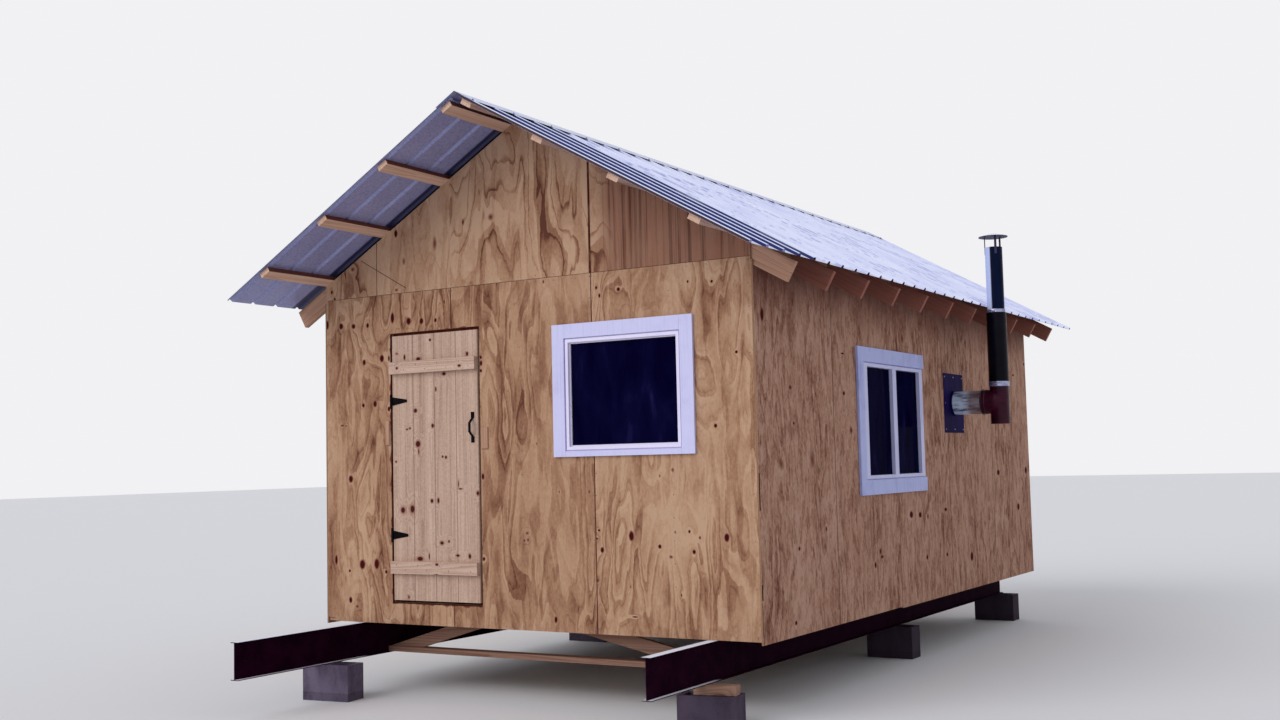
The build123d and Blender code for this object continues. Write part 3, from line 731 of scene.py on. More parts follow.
@dataclass(frozen=True)
class Timber(Finish):
    """Sawn softwood with straight grain, pin knots, a furry surface and, where asked, painted shade.

    Attributes:
        name: the material's name.
        grain: the way that the grain runs.
        pale: the colour of the early wood.
        dark: the colour of the late wood.
        board: the width of one board, where several lie side by side along X.
        start: where the first of those boards begins.
        knots: the large knots that show.
        knotty: how dark the small loose knots are.
        rings: how dark the growth rings are.
        grit: how strong the fine mottling is.
        painted_shade: how strongly painted shade darkens the timber behind the face of the front wall.
        painted_shade_colour: the colour of that painted shade.
        upper_side_shade: how much painted shade darkens its upper side, where the roof lies on it.
    """

    name: str
    grain: Grain
    pale: Colour
    dark: Colour
    board: float = 0.0
    start: float = 0.0
    knots: tuple[Knot, ...] = ()
    knotty: float = 0.5
    rings: float = 0.30
    grit: float = 0.15
    painted_shade: float = 0.0
    painted_shade_colour: Colour = tint(134, 72, 66)
    upper_side_shade: float = 0.0

    def along(self, bench: Bench, place: Wire) -> Wire:
        """The point with its grain drawn out, so that noise there lies along it.

        Args:
            bench: the material.
            place: the point on the object.

        Returns:
            The point that the grain's noises are read at.
        """
        if self.grain is not Grain.SLOPING:
            return bench.vector("MULTIPLY", place, self.grain.value)
        x, y, z = bench.split(place)
        return bench.point(ROOF.down(x, z) * DRAWN_OUT, y, ROOF.above(x, z))

    def paint(self, bench: Bench) -> bpy.types.Material:
        """Growth rings cut lengthwise, with knots and a furry sawn surface.

        Args:
            bench: the empty material.

        Returns:
            The finished material.
        """
        place = bench.place()
        x, y, _ = bench.split(place)
        run = self.along(bench, place)
        if self.board:
            number = ((x - spot(self.start, 0, 0).x) * (METRE / self.board)).floor()
            run = bench.vector("ADD", run, bench.point(0.0, bench.chance(number + 3.0) * 9.0, 0.0))
        reach = None
        drift = bench.noise(run, 7.0)
        if self.knots:
            reach = knot_reach(bench, place, Axis.X, self.knots)
            drift = drift + reach.rise(5.0, 0.7) * 0.10
        rings = (drift * 22.0).fraction()
        late = rings.rise(0.35, 0.95) * rings.rise(1.0, 0.93)
        fibre = bench.noise(run, 420.0, 3.0, 0.65)
        broad = bench.noise(run, 16.0, 3.0, 0.55)
        mottle = bench.noise(place, 70.0, 3.0, 0.75)
        level = late * self.rings + (broad - 0.5) * 0.85 + (fibre - 0.5) * 0.32
        level = level + (mottle - 0.5) * self.grit + 0.24
        colour = bench.ramp(level, (0.0, self.pale), (0.75, self.dark))
        loose = bench.cells(run, 7.5).rise(0.075, 0.045)
        colour = bench.blend(loose * self.knotty, colour, tint(84, 44, 36))
        height = level * -0.5 + fibre * 0.5
        if reach is not None:
            colour = bench.blend(reach.rise(2.1, 1.0) * 0.6, colour, tint(134, 76, 58))
            colour = bench.blend(reach.rise(1.2, 0.85) * 0.97, colour, tint(64, 6, 12))
            height = height - reach.rise(1.1, 0.8) * 0.5
        # Painted shade on the timber behind the front wall, under the roof.
        if self.painted_shade:
            painted_eave_shade = y.rise(spot(0, 60, 0).y, spot(0, 200, 0).y)
            colour = bench.blend(painted_eave_shade * self.painted_shade, colour, self.painted_shade_colour)
        # Painted shade on the upper side, in the gap under the roof metal.
        if self.upper_side_shade:
            up = bench.split(bench.facing())[Axis.Z.value]
            colour = bench.blend(up.rise(0.25, 0.45) * self.upper_side_shade, colour, tint(88, 30, 30))
        return bench.finish(Base_Color=colour, Roughness=0.75, Specular_IOR_Level=0.1,
                            Normal=bench.bump(height, 0.0005))


@dataclass(frozen=True)
class Paint(Finish):
    """A brushed coat over wood or plastic, with grime in its low places."""

    name: str
    base: Colour
    shade: Colour
    streak: float
    rough: float

    def paint(self, bench: Bench) -> bpy.types.Material:
        """Long upright brush marks and soft blotches of the shade colour.

        Args:
            bench: the empty material.

        Returns:
            The finished material.
        """
        place = bench.place()
        marks = bench.noise(bench.vector("MULTIPLY", place, Grain.UPRIGHT.value), 90.0, 3.0, 0.6)
        blotch = bench.noise(place, 5.0, 4.0, 0.6)
        share = (marks.rise(0.45, 0.85) * 0.6 + blotch.rise(0.45, 0.8) * 0.7) * self.streak
        colour = bench.blend(share, self.base, self.shade)
        return bench.finish(Base_Color=colour, Roughness=self.rough, Normal=bench.bump(marks, 0.0003))


@dataclass(frozen=True)
class RoofMetal(Finish):
    """Zinc-coated ribbed panels: frosted white above, bare by the front edge, blue grey below, with painted
    shade and highlights at ribs, edges and screw rows.

    Attributes:
        name: the material's name.
        bare_end: how far back the bare metal at the front reaches.
        dimple_shade_far: how far back the painted shade of the pan's dimples over the first purlin reaches.
        dimple_shade_near: how far back it stays at its darkest.
    """

    name: str
    bare_end: float
    dimple_shade_far: float = 2600.0
    dimple_shade_near: float = 900.0

    def paint(self, bench: Bench) -> bpy.types.Material:
        """Frost or bare metal on what faces up and coated steel below, with painted shade and highlights.

        Args:
            bench: the empty material.

        Returns:
            The finished material.
        """
        place = bench.place()
        y = bench.split(place)[Axis.Y.value]
        cloud = bench.noise(place, 1.6, 4.0, 0.6)
        spangle = bench.cells(place, 55.0)
        ribs = (y - spot(0, ROOF.rib(0), 0).y) * (METRE / ROOF.rib_spacing) + 0.5
        off_rib = (ribs.fraction() - 0.5) * (ROOF.rib_spacing * MM)
        # Painted shade at the foot of each rib's front flank.
        crease = off_rib.rise(-0.065, -0.055) * off_rib.rise(-0.0120, -0.0135)
        frost = self.frosted(bench, place, cloud, off_rib, crease)
        limit = spot(0, self.bare_end, 0).y
        bare = (y + cloud * 0.3).rise(limit + 0.24, limit + 0.13)
        # Painted shadow under the metal's front edge; on bare metal the rib flanks get painted navy shade.
        rim = y.rise(spot(0, -677, 0).y, spot(0, -683, 0).y)
        flank = bench.blend(rim, tint(0, 0, 96), tint(50, 10, 16))
        top = bench.blend(bare, frost, bench.blend(crease, tint(222, 232, 255), flank))
        above = bench.split(bench.facing())[Axis.Z.value].rise(0.02, 0.12)
        colour = bench.blend(above, self.coated(bench, y, spangle * 0.4 + cloud * 0.5, off_rib), top)
        height = bench.noise(place, 24.0, 3.0, 0.6) * above + spangle * 0.1
        return bench.finish(Base_Color=colour, Metallic=0.25 - above * 0.22, Roughness=0.45 + above * 0.25,
                            Normal=bench.bump(height, 0.0012))

    def coated(self, bench: Bench, y: Wire, shade: Wire, off_rib: Wire) -> Wire:
        """The blue grey underside, with a painted highlight in the ribs and a painted shadow where it meets
        the front wall.

        Args:
            bench: the material.
            y: how far back the point lies.
            shade: the darkness of the coating.
            off_rib: how far the point lies from the nearest rib's middle.

        Returns:
            The underside's colour.
        """
        steel = bench.ramp(shade, (0.15, tint(168, 172, 216)), (0.7, tint(128, 132, 180)))
        # Painted highlight in the rib hollows.
        steel = bench.blend(abs(off_rib).rise(0.022, 0.012) * 0.22, steel, tint(200, 204, 240))
        # Painted shadow along the front wall.
        corner = y.rise(spot(0, -50, 0).y, spot(0, -30, 0).y)
        return bench.blend(corner * 0.9, steel, tint(22, 12, 70))

    def frosted(self, bench: Bench, place: Wire, cloud: Wire, off_rib: Wire, crease: Wire) -> Wire:
        """Thin frost with painted blue shade in the rib creases, and painted shade of the pan's dimples and
        screw heads over the first purlin below the ridge.

        Args:
            bench: the material.
            place: the point on the object.
            cloud: a broad noise.
            off_rib: how far the point lies from the nearest rib's middle.
            crease: 1 in the shaded foot of a rib.

        Returns:
            The frost's colour.
        """
        x, y, z = bench.split(place)
        run = bench.noise(bench.vector("MULTIPLY", place, (0.4, 14.0, 0.4)), 1.0, 3.0, 0.6)
        frost = bench.ramp(cloud * 0.6 + run * 0.4, (0.25, tint(196, 200, 238)), (0.5, tint(222, 226, 250)),
                           (0.75, tint(238, 240, 255)))
        # Painted blue shade in the rib creases.
        faint = bench.noise(bench.point(x * 5.0, y * 1.2, z * 5.0), 1.0, 3.0, 0.7).rise(0.50, 0.64)
        frost = bench.blend(crease * faint * 0.45, frost, tint(120, 128, 196))
        # Painted shade of the pan's dimples and screw heads along the first purlin.
        off_row = abs(ROOF.down(x, z) - ROOF.purlin_rows[0] * MM)
        near = y.rise(spot(0, self.dimple_shade_far, 0).y, spot(0, self.dimple_shade_near, 0).y)
        frost = bench.blend(off_row.rise(0.035, 0.010) * near * 0.35, frost, tint(120, 128, 200))
        head = off_row.rise(0.040, 0.020) * abs(off_rib - 0.038).rise(0.026, 0.014)
        return bench.blend(head * near * 0.8, frost, tint(40, 36, 110))


@dataclass(frozen=True)
class Steel(Finish):
    """Painted or coated metal with grime, rust freckles, frost and painted reflections.

    Attributes:
        name: the material's name.
        base: the colour of the clean coat.
        shade: the colour of the grime.
        rust: how strong the rust freckles are.
        metallic: how metallic it is.
        rough: how rough it is.
        coat: how much clear coat lies on it.
        gloss: how strongly it mirrors.
        stretch: how far the grime is drawn out along each axis.
        reflection_side: the level direction that its painted pale reflection band faces.
        wall_reflection: where along X the painted brown reflection of the wooden wall starts, and where it
            is full.
        frost: how much frost lies on what faces up.
        frost_end: how far back the frost reaches, if it ends.
    """

    name: str
    base: Colour
    shade: Colour
    rust: float = 0.0
    metallic: float = 0.0
    rough: float = 0.45
    coat: float = 0.0
    gloss: float = 0.3
    stretch: tuple[float, float, float] = (1.0, 1.0, 1.0)
    reflection_side: Optional[tuple[float, float]] = None
    wall_reflection: Optional[tuple[float, float]] = None
    frost: float = 0.0
    frost_end: Optional[float] = None

    def paint(self, bench: Bench) -> bpy.types.Material:
        """Two close colours, and over them what has settled on the piece and any painted reflections.

        Args:
            bench: the empty material.

        Returns:
            The finished material.
        """
        place = bench.place()
        run = bench.vector("MULTIPLY", place, self.stretch)
        cloud = bench.noise(run, 9.0, 5.0, 0.62)
        fine = bench.noise(run, 140.0, 3.0, 0.6)
        colour = bench.blend(cloud.rise(0.36, 0.68), self.base, self.shade)
        rough = self.rough + (fine - 0.5) * 0.16
        if self.rust:
            freckle = bench.noise(place, 34.0, 5.0, 0.75).rise(0.60, 0.70) * self.rust
            colour = bench.blend(freckle, colour, tint(92, 40, 28))
            rough = rough + freckle * 0.3
        # Painted reflection of the brown wooden wall.
        if self.wall_reflection:
            start, full = (spot(x, 0, 0).x for x in self.wall_reflection)
            reflected_wall = bench.split(place)[Axis.X.value].rise(start, full)
            colour = bench.blend(reflected_wall * 0.75, colour, tint(116, 90, 84))
        # Painted reflection bands down the sides of the pipe.
        if self.reflection_side:
            colour = self.painted_reflection(bench, colour, cloud)
        if self.frost:
            colour = self.frosted(bench, colour, place, cloud + fine * 0.3)
        return bench.finish(Base_Color=colour, Metallic=self.metallic, Roughness=rough,
                            Coat_Weight=self.coat, Specular_IOR_Level=self.gloss,
                            Normal=bench.bump(fine * 0.4 + cloud, 0.0006))

    def painted_reflection(self, bench: Bench, colour: Wire, cloud: Wire) -> Wire:
        """A painted reflection: a pale band down the side that faces the given level direction, and a thin
        one opposite.

        Args:
            bench: the material.
            colour: the colour so far.
            cloud: a broad noise that frays the bands.

        Returns:
            The colour with the painted reflection bands.
        """
        east, north, _ = bench.split(bench.facing())
        toward = east * self.reflection_side[0] + north * self.reflection_side[1] + (cloud - 0.5) * 0.15
        colour = bench.blend(toward.rise(0.36, 0.52) * 0.85, colour, tint(196, 206, 246))
        return bench.blend(toward.rise(-0.93, -0.985) * 0.7, colour, tint(170, 176, 226))

    def frosted(self, bench: Bench, colour: Wire, place: Wire, patches: Wire) -> Wire:
        """Frost in patches on what faces up.

        Args:
            bench: the material.
            colour: the colour so far.
            place: the point on the object.
            patches: a noise that leaves holes in the frost.

        Returns:
            The colour with the frost.
        """
        up = bench.split(bench.facing())[Axis.Z.value]
        lying = up.rise(0.5, 0.9) * patches.rise(0.30, 0.42) * self.frost
        if self.frost_end is not None:
            end = spot(0, self.frost_end, 0).y
            lying = lying * bench.split(place)[Axis.Y.value].rise(end + 0.06, end - 0.06)
        return bench.blend(lying, colour, tint(240, 242, 255))


@dataclass(frozen=True)
class Concrete(Finish):
    """Cast block: coarse grit, pits and damp stains, with painted shade where the cabin stands over it."""

    name: str
    base: Colour
    shade: Colour

    def paint(self, bench: Bench) -> bpy.types.Material:
        """Grit from two noises, with open pits between the grains.

        Args:
            bench: the empty material.

        Returns:
            The finished material.
        """
        place = bench.place()
        x, y, _ = bench.split(place)
        grit = bench.noise(place, 190.0, 4.0, 0.7)
        pits = bench.cells(place, 120.0).rise(0.20, 0.08)
        damp = bench.noise(bench.vector("MULTIPLY", place, (1.0, 1.0, 0.5)), 7.0, 4.0, 0.6)
        colour = bench.blend(damp.rise(0.38, 0.66), self.base, self.shade)
        colour = bench.blend(grit.rise(0.42, 0.72) * 0.3, colour, tint(136, 124, 144))
        colour = bench.blend(pits * 0.7, colour, tint(42, 34, 46))
        # Painted shade under the cabin, toward the right and the back.
        right = x.rise(spot(2600, 0, 0).x, spot(3000, 0, 0).x)
        colour = bench.blend(right * 0.62, colour, tint(40, 26, 38))
        back = y.rise(spot(0, 1500, 0).y, spot(0, 3500, 0).y)
        colour = bench.blend(back * 0.6, colour, tint(30, 18, 28))
        return bench.finish(Base_Color=colour, Roughness=0.92, Specular_IOR_Level=0.2,
                            Normal=bench.bump(grit - pits * 0.8, 0.0022))


@dataclass(frozen=True)
class Pane(Finish):
    """Window glass painted near-black blue as the shade of the room behind it, with faint paler patches."""

    name: str

    def paint(self, bench: Bench) -> bpy.types.Material:
        """A near-black blue pane, painted shade of the room behind it, with paler patches drawn upward.

        Args:
            bench: the empty material.

        Returns:
            The finished material.
        """
        where = bench.vector("MULTIPLY", bench.place(), (3.0, 3.0, 0.8))
        pale_patch = bench.noise(where, 2.2, 4.0, 0.6, 0.6)
        # Painted shade of the dark room behind the glass.
        colour = bench.ramp(pale_patch, (0.40, tint(5, 3, 34)), (0.62, tint(12, 10, 46)),
                            (0.75, tint(30, 28, 72)))
        return bench.finish(Base_Color=colour, Roughness=0.06, IOR=1.5, Specular_IOR_Level=0.001,
                            Alpha=0.98)


PINE = (tint(206, 178, 160), tint(150, 116, 98))
STUD = (tint(202, 160, 134), tint(142, 98, 80))
NAIL = Steel("nail heads", tint(120, 112, 122), tint(84, 70, 74), rust=0.4, metallic=0.6)
SCREW = Steel("zinc screws", tint(66, 68, 118), tint(40, 42, 90), metallic=0.3, rough=0.5)
IRON = Steel("black iron", tint(8, 4, 9), tint(18, 12, 20), rough=0.6, gloss=0.04)
ZINC = Steel("galvanized pipe", tint(168, 170, 200), tint(96, 98, 140), metallic=0.75, rough=0.32,
             stretch=(0.3, 2.0, 2.0))
VINYL = Paint("white vinyl", tint(226, 220, 246), tint(190, 184, 220), streak=0.4, rough=0.35)
GASKET = Steel("black gasket", tint(16, 14, 26), tint(26, 24, 38), rough=0.6)

# The knots that show, each as across, up, half width, half height and, for a paler one, depth.
LEFT_KNOTS = knots(
    (8, 2255, 15, 30), (153, 2236, 17, 21), (279, 2227, 16, 17), (421, 2224, 12, 17),
    (667, 2263, 15, 36), (824, 2227, 18, 24), (946, 2219, 16, 20), (1079, 2217, 11, 14),
    (383, 1946, 14, 19), (560, 1966, 18, 24), (629, 1962, 7, 20), (371, 1621, 12, 14),
    (488, 1627, 15, 21), (624, 1584, 11, 17), (158, 1476, 22, 9, 0.4), (197, 1471, 14, 7, 0.4),
    (240, 1069, 19, 24), (86, 460, 12, 32), (349, 430, 24, 32), (490, 436, 21, 34),
    (222, 380, 9, 9), (582, 379, 11, 12), (228, 163, 14, 20), (293, 117, 19, 14, 0.3),
)
MIDDLE_KNOTS = knots(
    (1490, 1919, 9, 11), (1492, 1877, 10, 17), (1490, 1823, 9, 11), (1494, 1070, 10, 19),
    (1492, 488, 10, 13), (2101, 86, 11, 19), (1872, 672, 16, 13, 0.3), (1848, 621, 8, 10, 0.4),
    (1878, 625, 10, 13, 0.4), (2148, 955, 7, 10, 0.3), (2394, 953, 8, 12, 0.4),
    (2047, 2415, 8, 16, 0.5), (1965, 1290, 10, 14, 0.2),
)
RIGHT_KNOTS = knots(
    (2485, 2336, 8, 10), (2509, 2279, 10, 17, 0.7), (2661, 2310, 12, 12), (2466, 694, 8, 8),
    (2489, 563, 12, 17), (2449, 639, 14, 10, 0.4), (2721, 658, 17, 30), (2938, 591, 11, 13),
    (3193, 559, 11, 13), (3162, 689, 7, 10), (3239, 651, 9, 13, 0.5), (3056, 685, 7, 12, 0.4),
    (3021, 525, 18, 14, 0.3), (3434, 653, 16, 24), (2736, 128, 26, 6, 0.6), (2449, 360, 12, 13, 0.3),
    (2706, 324, 5, 8, 0.5), (3049, 1090, 14, 18, 0.25), (2949, 1052, 8, 13, 0.3),
    (3540, 1833, 9, 9), (3375, 1367, 11, 12), (3375, 2301, 8, 9), (3197, 2316, 6, 8),
    (3092, 279, 7, 14, 0.4),
)
GABLE_KNOTS = knots(
    (58, 2506, 9, 14), (90, 2452, 9, 9), (709, 2895, 14, 26), (1082, 2783, 22, 60, 0.25),
    (784, 2678, 18, 36, 0.2), (275, 2664, 22, 20, 0.3), (1598, 2921, 28, 30, 0.3),
    (1346, 2913, 13, 28, 0.4), (709, 2470, 20, 14, 0.3),
)
SIDE_KNOTS = knots(
    (118, 2073, 22, 39), (1415, 1892, 32, 7, 0.8), (1418, 1605, 18, 14),
    (511, 1617, 23, 17, 0.5), (550, 1379, 16, 13, 0.6), (2700, 681, 34, 24),
    (2900, 670, 29, 20), (1027, 655, 14, 21, 0.6), (577, 549, 20, 16, 0.6),
    (1907, 342, 20, 24, 0.9), (2015, 436, 25, 26, 0.5), (2047, 393, 40, 15, 0.5),
    (2639, 2081, 18, 32, 0.5), (831, 1136, 41, 68, 0.2), (338, 1109, 45, 45, 0.15),
    (1529, 1339, 28, 33, 0.4), (5052, 971, 39, 23), (5967, 976, 35, 30), (5657, 628, 34, 29),
    (3524, 688, 38, 17, 0.8), (3080, 649, 24, 28, 0.4), (3029, 322, 24, 20, 0.9),
    (3520, 310, 25, 17, 0.8), (4170, 250, 36, 35), (490, 71, 15, 13), (6057, 2038, 29, 13, 0.9),
    (5666, 1911, 31, 12, 0.8), (4217, 2137, 28, 50, 0.3),
)
DOOR_KNOTS = knots(
    (1023, 2072, 9, 9), (703, 1989, 16, 10, 0.3), (778, 1959, 8, 17), (909, 1939, 18, 11),
    (1364, 1950, 10, 13), (1149, 1817, 15, 11), (1072, 1708, 6, 14), (877, 1559, 14, 14),
    (1038, 1443, 11, 13), (795, 1424, 12, 7, 0.6), (823, 1431, 11, 9, 0.6), (898, 1314, 20, 21),
    (904, 1259, 8, 29, 0.4), (1127, 1216, 7, 8), (1158, 1211, 9, 10), (686, 1188, 9, 8, 0.8),
    (748, 831, 22, 24, 0.9), (838, 839, 20, 31, 0.9), (1023, 897, 12, 13), (1083, 899, 9, 17),
    (1287, 982, 20, 6, 0.6), (1270, 1016, 6, 29, 0.5), (1443, 949, 10, 14), (1111, 594, 18, 13, 0.9),
    (1176, 606, 9, 10, 0.7), (906, 478, 24, 14), (992, 496, 6, 23, 0.9), (1255, 506, 18, 9, 0.8),
    (1364, 502, 10, 16), (795, 198, 12, 16, 0.4),
)
BATTEN_KNOTS = knots(
    (735, 1878, 11, 10, 0.9), (1321, 1865, 13, 8), (1092, 442, 12, 8), (1086, 369, 18, 5, 0.8),
)


def dress(finish: Finish, *nodes: str) -> None:
    """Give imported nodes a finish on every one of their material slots.

    Args:
        finish: the surface.
        nodes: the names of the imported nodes.
    """
    for node in nodes:
        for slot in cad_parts[node].material_slots:
            slot.material = finish.material()


def placed(name: str, mesh: bmesh.types.BMesh, material: bpy.types.Material) -> bpy.types.Object:
    """Put a modelled shape into the scene.

    Args:
        name: the object's name.
        mesh: its shape, in metres, in place.
        material: its surface.

    Returns:
        The new object, at the origin.
    """
    data = bpy.data.meshes.new(name)
    mesh.to_mesh(data)
    mesh.free()
    data.materials.append(material)
    made = bpy.data.objects.new(name, data)
    bpy.context.scene.collection.objects.link(made)
    return made


def piece(name: str, mesh: bmesh.types.BMesh, finish: Finish, body: str) -> None:
    """Turn a modelled shape into a piece of the cabin.

    Args:
        name: the piece's name.
        mesh: its shape, in metres, in place.
        finish: its surface.
        body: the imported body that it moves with.
    """
    made = placed(name, mesh, finish.material())
    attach(made, body)
    LOG.info("%s: %d faces on %s", name, len(made.data.polygons), body)


def turned(where: Vector, out: Vector) -> Matrix:
    """The placing that stands a shape drawn up +Z at a point, facing out."""
    return Matrix.Translation(where) @ out.to_track_quat("Z", "Y").to_matrix().to_4x4()


@dataclass(frozen=True)
class Head:
    """The head of a nail, screw or bolt: a low cone, in millimetres."""

    radius: float
    height: float
    sides: int
    top: float

    def stand(self, mesh: bmesh.types.BMesh, where: Vector, out: Vector) -> None:
        """Add one head, standing on a surface.

        Args:
            mesh: the shape to add to.
            where: the middle of the head's foot.
            out: the direction that the surface faces.
        """
        middle = where + out * (self.height / 2 * MM)
        bmesh.ops.create_cone(mesh, cap_ends=True, segments=self.sides, radius1=self.radius * MM,
                              radius2=self.radius * self.top * MM, depth=self.height * MM,
                              matrix=turned(middle, out))


def bar(mesh: bmesh.types.BMesh, low: Vector, high: Vector, bevel: float) -> None:
    """Add a straight box with eased edges.

    Args:
        mesh: the shape to add to.
        low: its lowest corner.
        high: its highest corner.
        bevel: how far its edges are eased, in millimetres.
    """
    place = Matrix.Translation((low + high) / 2) @ Matrix.Diagonal((*(high - low), 1.0))
    made = bmesh.ops.create_cube(mesh, size=1.0, matrix=place)
    edges = list(dict.fromkeys(edge for vert in made["verts"] for edge in vert.link_edges))
    bmesh.ops.bevel(mesh, geom=edges, offset=bevel * MM, segments=2, profile=0.5, affect="EDGES",
                    material=-1)


RING_STEPS = 48


def ring(mesh: bmesh.types.BMesh, middle: Vector, axis: Vector, radius: float, section: tuple) -> None:
    """Spin a closed section round an axis.

    Args:
        mesh: the shape to add to.
        middle: the ring's middle.
        axis: the line that it goes round.
        radius: the inner radius in millimetres.
        section: (out, along) points of the section in millimetres, from the inner radius.
    """
    place = turned(middle, axis)
    rows = []
    for step in range(RING_STEPS):
        turn = place @ Matrix.Rotation(step * math.tau / RING_STEPS, 4, "Z")
        rows.append([mesh.verts.new(turn @ Vector(((radius + out) * MM, 0.0, up * MM)))
                     for out, up in section])
    for row, after in zip(rows, rows[1:] + rows[:1]):
        for i in range(len(section)):
            mesh.faces.new((row[i - 1], after[i - 1], after[i], row[i]))


@dataclass
class Shell:
    """The plywood walls, the timber frame inside them and the floor.

    Attributes:
        nail: the head of one nail.
        nail_spacing: how far apart the nails in a row lie.
        seam_half: half the width of a wall's seam.
        doorway: the doorway's cut in the front sheets.
        gable_seam: where the gable's upright seam lies.
        gable_seam_half: half that seam's width.
        gable_crack: the place and half width of the short seam at the gable's left.
        pencil: the across and up of both ends of the carpenter's line on the gable.
        chips: the width, foot and head of each chip at the front corner of the side wall, painted dark as
            shade.
        edge: how far in from an edge a row of nails lies.
        foot: how high the lowest nail of an upright row lies.
        under_eave: how far below the top of a side wall its rows end.
        gable_row: how far above the gable's joint its row lies.
        side_foot: how high the side walls' lowest row lies.
        skin: the thickness of a sheet.
        seam_nails: how far before and after a seam its two rows lie.
        studs: where the front and back walls' rows lie.
        front_gaps: the openings in the front wall that nails keep out of.
        side_gaps: the same in the right wall.
    """

    nail: Head = Head(radius=4.0, height=0.8, sides=8, top=0.7)
    nail_spacing: float = 152.0
    seam_half: float = 4.0
    doorway: Edges = (649.0, 1461.0, 158.0, 2130.0)
    gable_seam: float = 2434.0
    gable_seam_half: float = 9.0
    gable_crack: tuple[float, float] = (514.0, 3.0)
    pencil: tuple[float, float, float, float] = (358, 2719, 800, 2474)
    chips: tuple[tuple[float, float, float], ...] = ((20.0, 812.0, 1063.0), (22.0, 255.0, 360.0),
                                                     (9.0, 30.0, 250.0))
    edge: float = 22.0
    foot: float = 30.0
    under_eave: float = 90.0
    gable_row: float = 24.0
    side_foot: float = 20.0
    skin: float = 12.0
    seam_nails: tuple[float, float] = (-13.0, 11.0)
    studs: tuple[float, ...] = (22, 610, 1206, 1230, 1829, 2425, 2449, 3048, 3634)
    front_gaps: tuple[Edges, ...] = ((600, 1530, 140, 2190), (2080, 3260, 1150, 2130))
    side_gaps: tuple[Edges, ...] = ((1620, 3060, 850, 1980), (3560, 4110, 1310, 1870))

    def dress(self) -> None:
        """Give every sheet and timber its grain."""
        self.dress_front()
        thirds = self.seams(3)
        fifths = self.seams(5)
        dress(Veneer("back sheets", Axis.X, Axis.Y, 12.6, seams=thirds), "back_wall_sheets")
        dress(Veneer("left sheets", Axis.Y, Axis.X, 15.2, seams=fifths, eave=WALL_HEIGHT),
              "left_wall_sheets")
        dress(Veneer("side sheets", Axis.Y, Axis.X, 21.9, SIDE_KNOTS, swirl=7.0, lines=0.12, dashes=0.5,
                     mottle=0.85, size=2.0, tone=0.01, contrast=1.3, wash=(0.97, 0.92, 1.04, 1.0),
                     seams=fifths, eave=WALL_HEIGHT, chips=self.chips), "right_wall_sheets")
        dress(Veneer("floor sheets", Axis.X, Axis.Z, 31.0), "floor_deck")
        dress(Timber("stud timber", Grain.UPRIGHT, *STUD), "wall_studs", "gable_studs")
        dress(Timber("long timber", Grain.LENGTHWISE, *STUD), "top_plates", "bottom_plates", "ridge_board",
              "eave_blocks")
        dress(Timber("cross timber", Grain.CROSSWISE, *STUD), "floor_joists", "headers_and_sills")
        # Painted shade on the rafters and purlins behind the front wall, under the roof.
        dress(Timber("rafter timber", Grain.SLOPING, *STUD, painted_shade=0.75), "rafters")
        # The purlins' pale colours are raised as painted light bounced onto their undersides.
        dress(Timber("purlin timber", Grain.LENGTHWISE, tint(222, 188, 166), tint(178, 138, 116), painted_shade=0.85,
                     painted_shade_colour=tint(84, 26, 30), upper_side_shade=0.9), "purlins")
        dress(Timber("weathered timber", Grain.CROSSWISE, tint(172, 136, 118), tint(116, 80, 68)),
              "cross_timbers", "cross_braces", "pier_shim")

    def dress_front(self) -> None:
        """Give each sheet of the front wall and its gable a figure of its own."""
        thirds = self.seams(3)
        gable_seams = ((self.gable_seam, self.gable_seam_half), self.gable_crack)
        dress(Veneer("left sheet", Axis.X, Axis.Y, 2.3, LEFT_KNOTS, lines=0.24, tone=0.05, seams=thirds,
                     opening=self.doorway), "front_sheet_left")
        dress(Veneer("middle sheet", Axis.X, Axis.Y, 7.1, MIDDLE_KNOTS, tone=0.10, seams=thirds,
                     opening=self.doorway), "front_sheet_middle")
        dress(Veneer("right sheet", Axis.X, Axis.Y, 4.7, RIGHT_KNOTS, swirl=10.0, seams=thirds),
              "front_sheet_right")
        dress(Veneer("gable sheets", Axis.X, Axis.Y, 9.4, GABLE_KNOTS, swirl=5.0, stretch=0.8, lines=0.42,
                     tone=-0.07, seams=gable_seams, striped_from=self.gable_seam, pencil=self.pencil),
              "front_gable_sheets")

    def seams(self, sheets: int) -> tuple[tuple[float, float], ...]:
        """The place and half width of each seam between so many sheets."""
        return tuple((i * SHEET, self.seam_half) for i in range(1, sheets))

    def nail_line(self, mesh: bmesh.types.BMesh, start: Vector, end: Vector, out: Vector,
                  gaps: tuple[Edges, ...] = ()) -> None:
        """Nail heads in a row, left out where there is no sheet.

        Args:
            mesh: the shape to add to.
            start: the first nail's place.
            end: the last nail's place.
            out: the direction that the wall faces.
            gaps: the left, right, foot and head of each opening in the wall.
        """
        across = Axis.Y.value if out.x else Axis.X.value
        run = end - start
        count = max(1, round(run.length / (self.nail_spacing * MM)))
        for i in range(count + 1):
            where = start + run * (i / count)
            local = (where - CORNER) / MM
            if not any(x0 < local[across] < x1 and z0 < local.z < z1 for x0, x1, z0, z1 in gaps):
                self.nail.stand(mesh, where, out)

    def build(self) -> None:
        """Nail the sheets to the studs and plates."""
        self.nail_front()
        self.nail_sides()
        self.nail_back()

